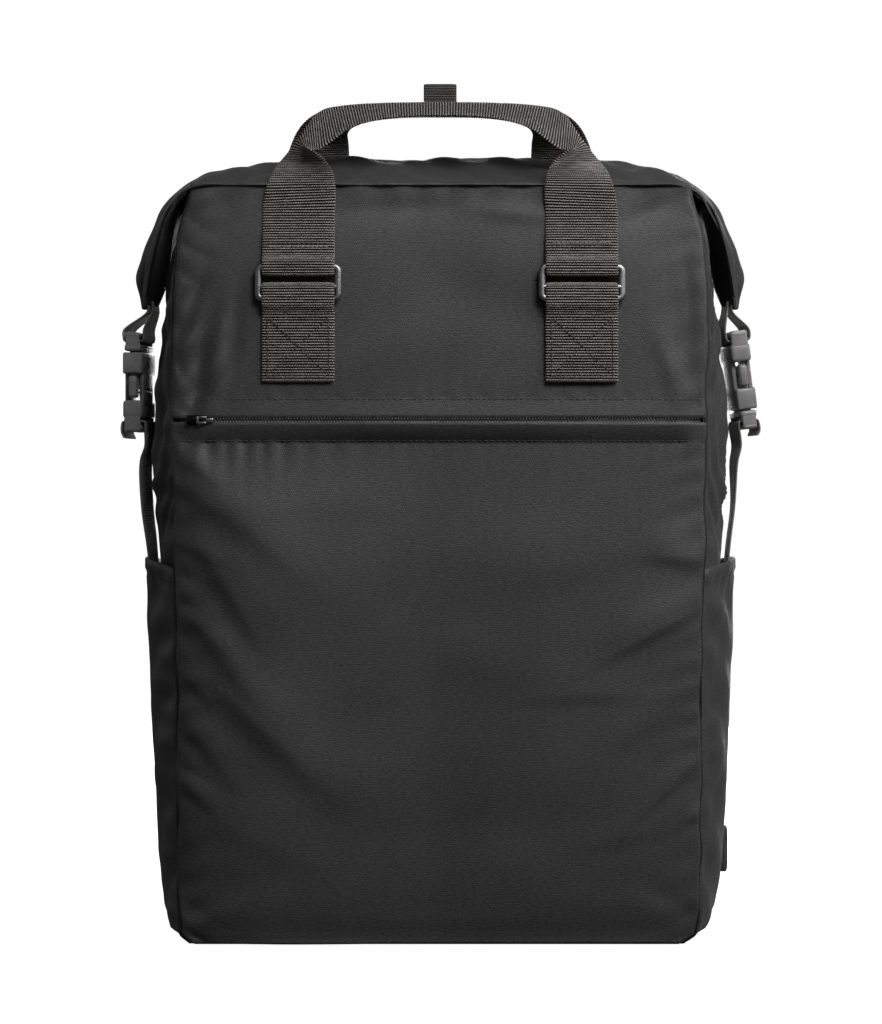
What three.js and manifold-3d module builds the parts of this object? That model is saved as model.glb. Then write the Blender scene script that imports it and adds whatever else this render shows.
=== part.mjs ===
// Laptop backpack with a folded-down top, two webbing handles and side buckles.
// Millimetres, +Z up, front towards -Y, origin under the middle of the flat base.

import * as THREE from "three";
import { mergeVertices } from "three/addons/utils/BufferGeometryUtils.js";
import Module from "manifold-3d";

const wasm = await Module();
wasm.setup();

// Thicknesses
const cloth = 1.8;
const backPadding = 6;
const strapPadding = 9;
const web = 1.5;
const gap = 0.4;
const lay = 0.8;

// Widths of the webbing and the padded straps
const handleWidth = 38;
const sideWebWidth = 25;
const tabWidth = 18;

// Heights on the body
const baseLow = 1;
const panelTop = 410.2;
const backLow = 3;
const backTop = 408;
const gussetTop = 396;
const pocketTop = 207;
const zipHeight = 283.5;
const zipOpening = 4.4;
const zipTapeHalf = 10;

// Mouth of the main compartment
const mouthHalfLength = 118;
const mouthWidth = 9;

// Handle legs on the front: middle of the leg, the sewn patch and the slider
const legX = 76.4;
const patchLow = 305;
const patchHigh = 343;
const sliderLow = 347;
const sliderHigh = 367.7;
const sliderThickness = 4;
const sliderSide = 4.3;
const legTackZ = 378;

// Flat base, inside the foot of the walls
const baseThickness = 2.4;
const baseFrontInset = 2.6;
const baseBackInset = 2.6;
const baseSideInset = 2.8;

// Rows of the body from the ground up: half-widths at the front seam, mid-depth and back seam,
// depth of the front and back seams, and how far the front face crowns between its seams
const bodyRows = [
  { z: 0, front: 127, side: 131, back: 128, frontY: -59, backY: 58, crown: 0.5, pocket: 134.5 },
  { z: 6, front: 136.5, side: 141.5, back: 137, frontY: -61, backY: 60, crown: 1.5, pocket: 145.5 },
  { z: 17, front: 140, side: 147.5, back: 141.5, frontY: -62.5, backY: 62, crown: 3, pocket: 152.5 },
  { z: 45, front: 140, side: 150, back: 144, frontY: -64, backY: 63, crown: 5, pocket: 157 },
  { z: 100, front: 141, side: 151, back: 145, frontY: -65.5, backY: 64, crown: 6.5, pocket: 160 },
  { z: 156, front: 141, side: 153, back: 145, frontY: -66, backY: 65, crown: 7, pocket: 162 },
  { z: 207, front: 142, side: 156, back: 145, frontY: -66, backY: 65, crown: 7, pocket: 163.5 },
  { z: 245, front: 143, side: 159, back: 145, frontY: -65.5, backY: 65, crown: 6, pocket: 165 },
  { z: 290, front: 144, side: 159, back: 145, frontY: -65, backY: 64.5, crown: 5, pocket: 165 },
  { z: 335, front: 144, side: 155, back: 145, frontY: -64, backY: 63.5, crown: 4.5, pocket: 165 },
  { z: 370, front: 143, side: 149, back: 144, frontY: -62.5, backY: 62, crown: 4, pocket: 165 },
  { z: 412, front: 136, side: 138, back: 138, frontY: -59, backY: 59, crown: 2, pocket: 165 },
];

// Folds pulled across the front face: middle, lean of the run from level, size and depth inwards
const frontFolds = [
  { x: -120, z: 228, lean: -55, length: 42, width: 12, depth: 2.4 },
  { x: -106, z: 143, lean: -55, length: 66, width: 15, depth: 3.2 },
  { x: -124, z: 96, lean: -35, length: 34, width: 12, depth: 2.2 },
  { x: 118, z: 172, lean: 42, length: 48, width: 12, depth: 2 },
  { x: 132, z: 98, lean: 48, length: 24, width: 9, depth: 2 },
  { x: -127, z: 322, lean: 80, length: 32, width: 11, depth: 1.4 },
];

// Half of the collar from the middle of the ridge to the ear's tip: crest line, the fold edge
// in front of and behind it, and how far apart those two edges are
const collarRows = [
  { crestX: 0, crestZ: 431, edgeX: 0, edgeZ: 413, halfDepth: 59 },
  { crestX: 40, crestZ: 431, edgeX: 40, edgeZ: 413, halfDepth: 59 },
  { crestX: 78, crestZ: 430.5, edgeX: 78, edgeZ: 413, halfDepth: 59 },
  { crestX: 112, crestZ: 426.5, edgeX: 110, edgeZ: 413, halfDepth: 59 },
  { crestX: 134, crestZ: 420, edgeX: 129, edgeZ: 412.8, halfDepth: 58 },
  { crestX: 150, crestZ: 409, edgeX: 141.5, edgeZ: 406.8, halfDepth: 54 },
  { crestX: 160, crestZ: 393, edgeX: 150.5, edgeZ: 393, halfDepth: 46 },
  { crestX: 166.5, crestZ: 376, edgeX: 156.5, edgeZ: 378, halfDepth: 34.5 },
  { crestX: 169.5, crestZ: 362, edgeX: 160.5, edgeZ: 363, halfDepth: 24 },
  { crestX: 166.5, crestZ: 347.5, edgeX: 163.5, edgeZ: 348, halfDepth: 15 },
];
const crestSharpness = 1.6;

// The gusset's upper end from the body to the ear's tip: middle line, edge line, distance of the edges
const gussetFoldRows = [
  { midX: 140.5, midZ: 399.5, edgeX: 134.5, edgeZ: 401, halfDepth: 49.5 },
  { midX: 146, midZ: 395.5, edgeX: 142, edgeZ: 395.5, halfDepth: 46 },
  { midX: 150, midZ: 385, edgeX: 149, edgeZ: 384, halfDepth: 39 },
  { midX: 151.6, midZ: 372, edgeX: 152.6, edgeZ: 372, halfDepth: 30 },
  { midX: 153.4, midZ: 360, edgeX: 154.4, edgeZ: 360, halfDepth: 21.5 },
  { midX: 155.5, midZ: 349, edgeX: 156, edgeZ: 349, halfDepth: 13 },
];

// Right half of the front handle from the panel's top to the middle of the grip: the leg's inner edge,
// which crumples where the webbing turns, and its outer edge, which runs round the turn and over the mouth
const handleRows = [
  { nearX: 56.9, nearY: -65.6, nearZ: 403.8, farX: 94.8, farY: -64, farZ: 402.3 },
  { nearX: 57.2, nearY: -66.2, nearZ: 411.3, farX: 93, farY: -64.2, farZ: 411 },
  { nearX: 58.8, nearY: -66.2, nearZ: 417.7, farX: 90.6, farY: -55.5, farZ: 419 },
  { nearX: 62.6, nearY: -66, nearZ: 422.9, farX: 87.5, farY: -42, farZ: 425.6 },
  { nearX: 67.7, nearY: -65.4, nearZ: 427, farX: 84, farY: -33.5, farZ: 431.2 },
  { nearX: 71.6, nearY: -64, nearZ: 429.6, farX: 80.3, farY: -28.5, farZ: 436.7 },
  { nearX: 72.5, nearY: -61.5, nearZ: 430.9, farX: 76.6, farY: -26, farZ: 442.3 },
  { nearX: 69.8, nearY: -59, nearZ: 430.9, farX: 72.8, farY: -24.6, farZ: 448.3 },
  { nearX: 65.6, nearY: -57, nearZ: 431.6, farX: 68.4, farY: -24, farZ: 453.6 },
  { nearX: 59.1, nearY: -56.4, nearZ: 436, farX: 63.5, farY: -23, farZ: 456.7 },
  { nearX: 51, nearY: -56.5, nearZ: 442, farX: 55.2, farY: -21.6, farZ: 458.5 },
  { nearX: 40.1, nearY: -57, nearZ: 446.3, farX: 43.1, farY: -20.4, farZ: 459.8 },
  { nearX: 23.8, nearY: -57, nearZ: 449.1, farX: 24.9, farY: -19.7, farZ: 460.5 },
];
const gripNear = { y: -57, z: 450 };
const gripFar = { y: -19.5, z: 460.8 };

// The back handle's legs stand straighter and closer together
const backHandleRows = [
  { nearX: 53, nearY: 66.4, nearZ: 404, farX: 91, farY: 64.6, farZ: 402.5 },
  { nearX: 53, nearY: 66.6, nearZ: 424, farX: 90.5, farY: 63, farZ: 422 },
  { nearX: 53, nearY: 66, nearZ: 438, farX: 88, farY: 57, farZ: 436 },
  { nearX: 53.5, nearY: 64.5, nearZ: 447, farX: 84.5, farY: 48, farZ: 446 },
  { nearX: 54, nearY: 62, nearZ: 452, farX: 79.5, farY: 38, farZ: 453.5 },
  { nearX: 52, nearY: 59.5, nearZ: 455, farX: 73, farY: 30, farZ: 458.5 },
  { nearX: 47, nearY: 58, nearZ: 457.5, farX: 64.5, farY: 25, farZ: 461.8 },
  { nearX: 38, nearY: 57.3, nearZ: 459.8, farX: 52, farY: 21.5, farZ: 463.8 },
  { nearX: 24, nearY: 57, nearZ: 461.3, farX: 30, farY: 20, farZ: 465 },
];
const backGripNear = { y: 57, z: 461.7 };
const backGripFar = { y: 19.5, z: 465.4 };
const backLegX = 72;

// Side buckles, seen edge-on from the front
const buckleWidth = 31;
const buckleThickness = 11;
const socketLength = 44;
const prongBaseLength = 11;
const buckles = [
  { name: "left", side: -1, x: 168, z: 322.6, lean: 0, socketUp: false },
  { name: "right", side: 1, x: 168.6, z: 291, lean: 7.2, socketUp: true },
];

// Shoulder straps on the back, from the yoke to the adjuster
const strapRows = [
  { x: 60, y: 76, z: 357.5, width: 58 },
  { x: 61, y: 88, z: 335, width: 58 },
  { x: 65, y: 101, z: 295, width: 58 },
  { x: 72, y: 106, z: 250, width: 58 },
  { x: 83, y: 105, z: 205, width: 56 },
  { x: 97, y: 99, z: 165, width: 46 },
  { x: 106, y: 94, z: 142, width: 34 },
];
const lowerWebRows = [
  { x: 107.8, y: 85.5, z: 135.5 },
  { x: 112, y: 83.6, z: 127.5 },
  { x: 117.5, y: 81.4, z: 116.5 },
  { x: 126, y: 79, z: 98 },
  { x: 141, y: 75.8, z: 68 },
  { x: 150, y: 74.2, z: 51 },
];
const yokeLow = 358;
const yokeHigh = 380;
const yokeHalfWidth = 104;

const materials = {
  cloth: new THREE.MeshStandardMaterial({ color: 0x2e2e2e, roughness: 0.85 }),
  webbing: new THREE.MeshStandardMaterial({ color: 0x3a3936, roughness: 0.8 }),
  plastic: new THREE.MeshStandardMaterial({ color: 0x3d3d3d, roughness: 0.45 }),
  metal: new THREE.MeshStandardMaterial({ color: 0x4a4a4a, roughness: 0.35, metalness: 1 }),
};

const backpack = new THREE.Group();

function add(name, geometry, material, parent = backpack) {
  const mesh = new THREE.Mesh(geometry, material);
  mesh.name = name;
  parent.add(mesh);
  return mesh;
}

// Cubic curve through four equally spaced values, between the middle two
function cubic(before, from, to, after, t) {
  const rise = (to - before) / 2;
  const next = (after - from) / 2;
  const t2 = t * t;
  const t3 = t2 * t;
  const start = (2 * t3 - 3 * t2 + 1) * from + (t3 - 2 * t2 + t) * rise;
  const end = (3 * t2 - 2 * t3) * to + (t3 - t2) * next;
  return start + end;
}

// A column of a table at a place counted in rows
function columnAt(rows, name, place) {
  const last = rows.length - 1;
  const index = Math.min(Math.max(Math.floor(place), 0), last - 1);
  const value = (i) => rows[Math.min(Math.max(i, 0), last)][name];
  return cubic(value(index - 1), value(index), value(index + 1), value(index + 2), place - index);
}

// A column of the body table at a height
function bodyAt(name, z) {
  let upper = bodyRows.findIndex((row) => row.z >= z);
  if (upper < 0) upper = bodyRows.length - 1;
  if (upper === 0) upper = 1;
  const low = bodyRows[upper - 1];
  const high = bodyRows[upper];
  return columnAt(bodyRows, name, upper - 1 + (z - low.z) / (high.z - low.z));
}

// How far the folds draw the front face in
function foldDepth(x, z) {
  let depth = 0;
  for (const fold of frontFolds) {
    const lean = THREE.MathUtils.degToRad(fold.lean);
    const along = (x - fold.x) * Math.cos(lean) + (z - fold.z) * Math.sin(lean);
    const across = (z - fold.z) * Math.cos(lean) - (x - fold.x) * Math.sin(lean);
    depth += fold.depth * Math.exp(-((along / fold.length) ** 2) - (across / fold.width) ** 2);
  }
  return depth;
}

function frontFace(x, z) {
  const across = x / bodyAt("front", z);
  return bodyAt("frontY", z) - bodyAt("crown", z) * (1 - across * across) + foldDepth(x, z);
}

const backCrown = 3;

function backFace(x, z) {
  const across = x / bodyAt("back", z);
  return bodyAt("backY", z) + backCrown * (1 - across * across);
}

// A closed sheet: the surface is its outer face, and the thickness goes in behind it
function sheet(surface, across, along, thickness) {
  const outer = [];
  const inner = [];
  const step = 1e-3;
  for (let j = 0; j <= along; j++) {
    for (let i = 0; i <= across; i++) {
      const u = i / across;
      const v = j / along;
      const point = surface(u, v);
      const du = surface(Math.min(u + step, 1), v).sub(surface(Math.max(u - step, 0), v));
      const dv = surface(u, Math.min(v + step, 1)).sub(surface(u, Math.max(v - step, 0)));
      const normal = du.cross(dv).normalize();
      outer.push(point);
      inner.push(point.clone().addScaledVector(normal, -thickness));
    }
  }
  const count = outer.length;
  const at = (i, j) => j * (across + 1) + i;
  const triangles = [];
  const quad = (a, b, c, d) => triangles.push(a, b, c, a, c, d);
  for (let j = 0; j < along; j++) {
    for (let i = 0; i < across; i++) {
      quad(at(i, j), at(i + 1, j), at(i + 1, j + 1), at(i, j + 1));
      quad(count + at(i, j), count + at(i, j + 1), count + at(i + 1, j + 1), count + at(i + 1, j));
    }
  }
  const rim = [];
  for (let i = 0; i < across; i++) rim.push(at(i, 0));
  for (let j = 0; j < along; j++) rim.push(at(across, j));
  for (let i = across; i > 0; i--) rim.push(at(i, along));
  for (let j = along; j > 0; j--) rim.push(at(0, j));
  rim.forEach((a, k) => {
    const b = rim[(k + 1) % rim.length];
    quad(b, a, count + a, count + b);
  });
  const geometry = new THREE.BufferGeometry().setFromPoints([...outer, ...inner]);
  geometry.setIndex(triangles);
  return geometry;
}

// A flat band between two edge lines, with a few steps from each point of an edge to the next
function band(edgeA, edgeB, stepsEach, thickness, across = 1) {
  const steps = stepsEach * (edgeA.length - 1);
  const curveA = new THREE.CatmullRomCurve3(edgeA);
  const curveB = new THREE.CatmullRomCurve3(edgeB);
  return sheet((u, v) => curveA.getPoint(v).lerp(curveB.getPoint(v), u), across, steps, thickness);
}

function toSolid(geometry) {
  const bare = geometry.clone();
  bare.deleteAttribute("normal");
  bare.deleteAttribute("uv");
  const merged = mergeVertices(bare, 1e-4);
  return new wasm.Manifold(
    new wasm.Mesh({
      numProp: 3,
      vertProperties: new Float32Array(merged.attributes.position.array),
      triVerts: new Uint32Array(merged.index.array),
    }),
  );
}

function toGeometry(solid) {
  const mesh = solid.getMesh();
  const geometry = new THREE.BufferGeometry();
  geometry.setAttribute("position", new THREE.BufferAttribute(new Float32Array(mesh.vertProperties), 3));
  geometry.setIndex(Array.from(mesh.triVerts));
  return geometry;
}

function cut(geometry, cutters) {
  let solid = toSolid(geometry);
  for (const cutter of cutters) solid = solid.subtract(toSolid(cutter));
  return toGeometry(solid);
}

function join(geometries) {
  return toGeometry(geometries.map(toSolid).reduce((whole, piece) => whole.add(piece)));
}

function box(sizeX, sizeY, sizeZ, x, y, z) {
  return new THREE.BoxGeometry(sizeX, sizeY, sizeZ).translate(x, y, z);
}

function roundedOutline(target, halfWidth, halfHeight, corner) {
  target.moveTo(-halfWidth + corner, -halfHeight);
  target.lineTo(halfWidth - corner, -halfHeight);
  target.absarc(halfWidth - corner, -halfHeight + corner, corner, -Math.PI / 2, 0);
  target.lineTo(halfWidth, halfHeight - corner);
  target.absarc(halfWidth - corner, halfHeight - corner, corner, 0, Math.PI / 2);
  target.lineTo(-halfWidth + corner, halfHeight);
  target.absarc(-halfWidth + corner, halfHeight - corner, corner, Math.PI / 2, Math.PI);
  target.lineTo(-halfWidth, -halfHeight + corner);
  target.absarc(-halfWidth + corner, -halfHeight + corner, corner, Math.PI, Math.PI * 1.5);
  return target;
}

// A rounded plate with its outline in the XZ plane and its thickness along Y, centred
function plateXZ(halfWidth, halfHeight, corner, thickness, bevel, holes = []) {
  const outline = roundedOutline(new THREE.Shape(), halfWidth - bevel, halfHeight - bevel, corner);
  for (const hole of holes) {
    const path = new THREE.Path();
    const side = hole.halfWidth + bevel;
    const low = hole.z - hole.halfHeight - bevel;
    const high = hole.z + hole.halfHeight + bevel;
    path.moveTo(-side, low);
    path.lineTo(-side, high);
    path.lineTo(side, high);
    path.lineTo(side, low);
    outline.holes.push(path);
  }
  const geometry = new THREE.ExtrudeGeometry(outline, {
    depth: thickness - 2 * bevel,
    bevelSize: bevel,
    bevelThickness: bevel,
    bevelSegments: 1,
    curveSegments: 3,
  });
  return geometry.translate(0, 0, -thickness / 2 + bevel).rotateX(Math.PI / 2);
}

// Rows of a panel's height lie closer together near its lower corners
const rowCrowding = 1.4;

function heightAt(low, high, v) {
  return THREE.MathUtils.lerp(low, high, v ** rowCrowding);
}

// Front panels, above and below the zip
const pipingRadius = 1.4;
const seamAllowance = 0.7;
const seamInset = pipingRadius + gap + seamAllowance;

function frontPanel(low, high) {
  return (u, v) => {
    const z = heightAt(low, high, v);
    const x = (2 * u - 1) * (bodyAt("front", z) - seamInset);
    return new THREE.Vector3(x, frontFace(x, z), z);
  };
}

const zipLow = zipHeight - zipOpening / 2;
const zipHigh = zipHeight + zipOpening / 2;
add("front_panel_lower", sheet(frontPanel(baseLow, zipLow), 16, 14, cloth), materials.cloth);
add("front_panel_upper", sheet(frontPanel(zipHigh, panelTop), 16, 8, cloth), materials.cloth);

// Back panel, padded
const backInset = 3.6;

function backPanel(u, v) {
  const z = heightAt(backLow, backTop, v);
  const x = (1 - 2 * u) * (bodyAt("back", z) - backInset);
  return new THREE.Vector3(x, backFace(x, z), z);
}

add("back_panel", sheet(backPanel, 10, 12, backPadding), materials.cloth);

// Side walls: the bulge runs from the front seam to the back seam
const sideInset = 3.4;
const bulgePower = 2.2;
const pocketStand = 3.5;

function sideWall(side, widest, low, high, stand) {
  return (u, v) => {
    const z = heightAt(low, high, v);
    const s = side > 0 ? u : 1 - u;
    const edge = THREE.MathUtils.lerp(bodyAt("front", z), bodyAt("back", z), s) + stand;
    const bulge = 1 - Math.abs(2 * s - 1) ** bulgePower;
    const x = edge + (bodyAt(widest, z) - edge) * bulge;
    const y = THREE.MathUtils.lerp(bodyAt("frontY", z) + sideInset, bodyAt("backY", z) - sideInset, s);
    return new THREE.Vector3(side * x, y, z);
  };
}

const pipingLow = 9;
const pipingHigh = 408.2;
const pipingShift = { x: -0.1, y: 0.2 };

function frontPiping(side) {
  const points = [];
  const steps = 14;
  for (let i = 0; i <= steps; i++) {
    const z = heightAt(pipingLow, pipingHigh, i / steps);
    const x = bodyAt("front", z) + pipingShift.x;
    points.push(new THREE.Vector3(side * x, bodyAt("frontY", z) + pipingShift.y, z));
  }
  const circle = new THREE.Shape().absarc(0, 0, pipingRadius, 0, Math.PI * 2);
  const path = new THREE.CatmullRomCurve3(points);
  return new THREE.ExtrudeGeometry(circle, { steps: 24, curveSegments: 3, extrudePath: path });
}

// The base's underside is flat, and its outline follows the foot of the walls
function basePanel(u, v) {
  const foremost = bodyAt("frontY", 0) + baseFrontInset;
  const y = THREE.MathUtils.lerp(foremost, bodyAt("backY", 0) - baseBackInset, v);
  const edge = THREE.MathUtils.lerp(bodyAt("front", 0), bodyAt("back", 0), v);
  const bulge = 1 - Math.abs(2 * v - 1) ** bulgePower;
  const half = edge + (bodyAt("side", 0) - edge) * bulge - baseSideInset;
  return new THREE.Vector3((1 - 2 * u) * half, y, 0);
}

add("base_panel", sheet(basePanel, 2, 10, baseThickness), materials.cloth);

for (const [name, side] of [["left", -1], ["right", 1]]) {
  const gusset = sideWall(side, "side", baseLow, gussetTop, 0);
  add(`gusset_${name}`, sheet(gusset, 8, 16, cloth), materials.cloth);
  const pocket = sideWall(side, "pocket", baseLow, pocketTop, pocketStand);
  add(`side_pocket_${name}`, sheet(pocket, 8, 10, cloth), materials.cloth);
  add(`front_piping_${name}`, frontPiping(side), materials.cloth);
}

// Collar: one cloth over the top and down both ears, with the mouth cut along its crest
function collarPoint(u, v) {
  const along = 2 * u - 1;
  const side = Math.sign(along);
  const place = Math.abs(along) * (collarRows.length - 1);
  const across = 2 * v - 1;
  const rise = 1 - Math.abs(across) ** crestSharpness;
  const at = (name) => columnAt(collarRows, name, place);
  const x = THREE.MathUtils.lerp(at("edgeX"), at("crestX"), rise);
  const z = THREE.MathUtils.lerp(at("edgeZ"), at("crestZ"), rise);
  return new THREE.Vector3(side * x, at("halfDepth") * across, z);
}

const mouthCut = { height: 60, z: 420 };
const mouthCutter = box(2 * mouthHalfLength, mouthWidth, mouthCut.height, 0, 0, mouthCut.z);
add("collar", cut(sheet(collarPoint, 36, 8, cloth), [mouthCutter]), materials.cloth);

function gussetFold(side) {
  return (u, v) => {
    const across = 2 * (side > 0 ? u : 1 - u) - 1;
    const place = v * (gussetFoldRows.length - 1);
    const at = (name) => columnAt(gussetFoldRows, name, place);
    const rise = 1 - across * across;
    const x = THREE.MathUtils.lerp(at("edgeX"), at("midX"), rise);
    const z = THREE.MathUtils.lerp(at("edgeZ"), at("midZ"), rise);
    return new THREE.Vector3(side * x, at("halfDepth") * across, z);
  };
}

add("gusset_fold_left", sheet(gussetFold(-1), 6, 8, cloth), materials.cloth);
add("gusset_fold_right", sheet(gussetFold(1), 6, 8, cloth), materials.cloth);

// Zip across the front, its tape sewn behind both panels
const zipEndInset = 2;
const zipHalf = bodyAt("front", zipHeight) - seamInset - zipEndInset;
const tapeThickness = 1.2;
const chainDepth = 1.6;

function zipStrip(halfWidth, halfHeight, behind) {
  return (u, v) => {
    const x = (2 * u - 1) * halfWidth;
    const z = zipHeight + (2 * v - 1) * halfHeight;
    return new THREE.Vector3(x, frontFace(x, z) + behind, z);
  };
}

const tape = sheet(zipStrip(zipHalf - zipEndInset, zipTapeHalf, cloth + 2 * gap), 16, 2, tapeThickness);
add("zip_tape", tape, materials.cloth);
const chain = sheet(zipStrip(zipHalf, zipOpening / 2 - gap, 0), 16, 1, chainDepth);
add("zip_chain", chain, materials.plastic);

const sliderBodyX = -132;
const sliderBodyStand = 2.4;
const pullShift = { x: 11, y: -2.8, z: -1 };
const sliderBody = new THREE.Group();
sliderBody.position.set(sliderBodyX, frontFace(sliderBodyX, zipHeight) - sliderBodyStand, zipHeight);
backpack.add(sliderBody);
add("zip_slider", plateXZ(5, 3.6, 1.5, 3, 0.6), materials.metal, sliderBody);
const pull = plateXZ(8, 2.2, 1.2, 1.4, 0.3, [{ z: 0, halfWidth: 4, halfHeight: 0.7 }]);
add("zip_pull", pull.translate(pullShift.x, pullShift.y, pullShift.z), materials.metal, sliderBody);

// Handles. A leg's place on its panel: across from the leg's middle, height, and stand off the panel
function onFront(x, z, stand) {
  return new THREE.Vector3(x, frontFace(x, z) - stand, z);
}

function onBack(x, z, stand) {
  return new THREE.Vector3(x, backFace(x, z) + stand, z);
}

const oneLayer = lay + web;
const twoLayers = oneLayer + gap + web;
const barGap = 0.55;
const overBar = oneLayer + sliderThickness + 2 * barGap + web;
const barMiddle = oneLayer + barGap + sliderThickness / 2;

// The leg from its hidden end, up behind the slider's top bar, round it and up the panel
const barLow = sliderHigh - 4.5;
const legWrap = [
  { z: legTackZ, stand: lay },
  { z: barLow + 4, stand: lay },
  { z: barLow + 0.5, stand: lay + 0.1 },
  { z: barLow - 1.4, stand: lay + 1.4 },
  { z: barLow - web - gap - 0.2, stand: barMiddle },
  { z: barLow - 1.4, stand: overBar - 1.4 },
  { z: barLow + 0.5, stand: overBar - 0.1 },
  { z: barLow + 4, stand: overBar },
  { z: sliderHigh + 1.5, stand: overBar - 0.4 },
  { z: sliderHigh + 5, stand: twoLayers + 0.6 },
  { z: legTackZ, stand: twoLayers },
  { z: legTackZ + 4, stand: twoLayers - 0.3 },
  { z: legTackZ + 10, stand: oneLayer + 0.2 },
  { z: legTackZ + 18, stand: oneLayer },
];

// The back handle's legs are sewn flat to the back
const backLeg = [
  { z: 386, stand: oneLayer },
  { z: 393, stand: oneLayer },
  { z: 400, stand: oneLayer },
];

function handleEdges(legRows, place, middleX, rows, gripNearEdge, gripFarEdge) {
  const halfWidth = handleWidth / 2;
  const near = [];
  const far = [];
  for (const row of legRows) {
    near.push(place(middleX - halfWidth, row.z, row.stand));
    far.push(place(middleX + halfWidth, row.z, row.stand));
  }
  for (const row of rows) {
    near.push(new THREE.Vector3(row.nearX, row.nearY, row.nearZ));
    far.push(new THREE.Vector3(row.farX, row.farY, row.farZ));
  }
  const whole = (edge, grip) => {
    const mirrored = edge.map((point) => new THREE.Vector3(-point.x, point.y, point.z));
    return [...mirrored, new THREE.Vector3(0, grip.y, grip.z), ...edge.reverse()];
  };
  return { near: whole(near, gripNearEdge), far: whole(far, gripFarEdge) };
}

const front = handleEdges(legWrap, onFront, legX, handleRows, gripNear, gripFar);
add("handle_front", band(front.far, front.near, 2, web), materials.webbing);
const back = handleEdges(backLeg, onBack, backLegX, backHandleRows, backGripNear, backGripFar);
add("handle_back", band(back.near, back.far, 2, web), materials.webbing);

// Sewn patches under the sliders: up in front of the lower bars, over and down behind them
const turnHigh = sliderLow + 8.2;
const patchWrap = [
  { z: patchLow, stand: twoLayers },
  { z: (patchLow + patchHigh) / 2, stand: twoLayers },
  { z: patchHigh - 3, stand: twoLayers },
  { z: sliderLow - 4.5, stand: twoLayers + 1.4 },
  { z: sliderLow - 1.5, stand: overBar - 0.6 },
  { z: sliderLow + 1.5, stand: overBar },
  { z: turnHigh - 3, stand: overBar },
  { z: turnHigh - 0.5, stand: overBar - 0.1 },
  { z: turnHigh + 1.4, stand: overBar - 1.4 },
  { z: turnHigh + web + gap + 0.2, stand: barMiddle },
  { z: turnHigh + 1.4, stand: lay + 1.4 },
  { z: turnHigh - 0.5, stand: lay + 0.1 },
  { z: turnHigh - 4, stand: lay },
  { z: patchHigh - 3, stand: lay },
  { z: (patchLow + patchHigh) / 2, stand: lay },
  { z: patchLow, stand: lay },
];

// Tri-glide slider with its long slot above a narrow one
const sliderMid = (sliderLow + sliderHigh) / 2;
const longSlot = { low: turnHigh, high: barLow };
const narrowSlot = { low: sliderLow + 3, high: sliderLow + 5 };

const slotSpare = 0.7;

function slotHole(slot) {
  return {
    z: (slot.low + slot.high) / 2 - sliderMid,
    halfWidth: handleWidth / 2 + slotSpare,
    halfHeight: (slot.high - slot.low) / 2,
  };
}

function slider(name, x) {
  const halfWidth = handleWidth / 2 + slotSpare + sliderSide;
  const halfHeight = (sliderHigh - sliderLow) / 2;
  const holes = [slotHole(longSlot), slotHole(narrowSlot)];
  const plate = plateXZ(halfWidth, halfHeight, 2.4, sliderThickness, 1, holes);
  const mesh = add(name, plate, materials.metal);
  const reach = 8;
  const acrossWay = onFront(x + reach, sliderMid, 0).sub(onFront(x - reach, sliderMid, 0)).normalize();
  const upWay = onFront(x, sliderMid + reach, 0).sub(onFront(x, sliderMid - reach, 0)).normalize();
  const inWay = upWay.clone().cross(acrossWay).normalize();
  mesh.quaternion.setFromRotationMatrix(new THREE.Matrix4().makeBasis(acrossWay, inWay, upWay));
  mesh.position.copy(onFront(x, sliderMid, barMiddle));
}

for (const [name, side] of [["left", -1], ["right", 1]]) {
  const middle = side * legX;
  const leftEdge = patchWrap.map((row) => onFront(middle - handleWidth / 2, row.z, row.stand));
  const rightEdge = patchWrap.map((row) => onFront(middle + handleWidth / 2, row.z, row.stand));
  add(`front_patch_${name}`, band(leftEdge, rightEdge, 2, web), materials.webbing);
  slider(`slider_${name}`, middle);
}

// Hang loop, folded over and sewn to the back handle's grip
const tabMiddleY = 38;
const tabHalf = 2;
const tabFoot = 464.8;
const tabTop = 477.5;
const tabThickness = 1.2;
const tabProfile = [
  { y: tabMiddleY - tabHalf, z: tabFoot },
  { y: tabMiddleY - tabHalf, z: tabFoot + 6 },
  { y: tabMiddleY - tabHalf, z: tabTop - 2 },
  { y: tabMiddleY - tabHalf * 0.7, z: tabTop - 0.6 },
  { y: tabMiddleY, z: tabTop },
  { y: tabMiddleY + tabHalf * 0.7, z: tabTop - 0.6 },
  { y: tabMiddleY + tabHalf, z: tabTop - 2 },
  { y: tabMiddleY + tabHalf, z: tabFoot + 6 },
  { y: tabMiddleY + tabHalf, z: tabFoot + 1 },
];
const tabEdge = (x) => tabProfile.map((row) => new THREE.Vector3(x, row.y, row.z));
add("hang_loop", band(tabEdge(-tabWidth / 2), tabEdge(tabWidth / 2), 2, tabThickness), materials.webbing);

// Side-release buckle, upright, with the mouth of the socket at height 0 and its width along Y
const windowHigh = -11;
const windowLow = -27;
const windowDepth = 5.5;
const cavityHalf = 12.6;
const cavityThickness = 5.6;
const slotLength = 26.5;
const socketSlot = { low: -40, high: -36.2 };
const prongSlot = { low: 4.2, high: 7.9 };
const cavityLength = 28;
const throughCut = 20;
const buckleBevel = 1.2;

function plateYZ(halfWidth, low, high, thickness, corner) {
  const plate = plateXZ(halfWidth, (high - low) / 2, corner, thickness, buckleBevel);
  return plate.rotateZ(Math.PI / 2).translate(0, 0, (high + low) / 2);
}

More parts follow.
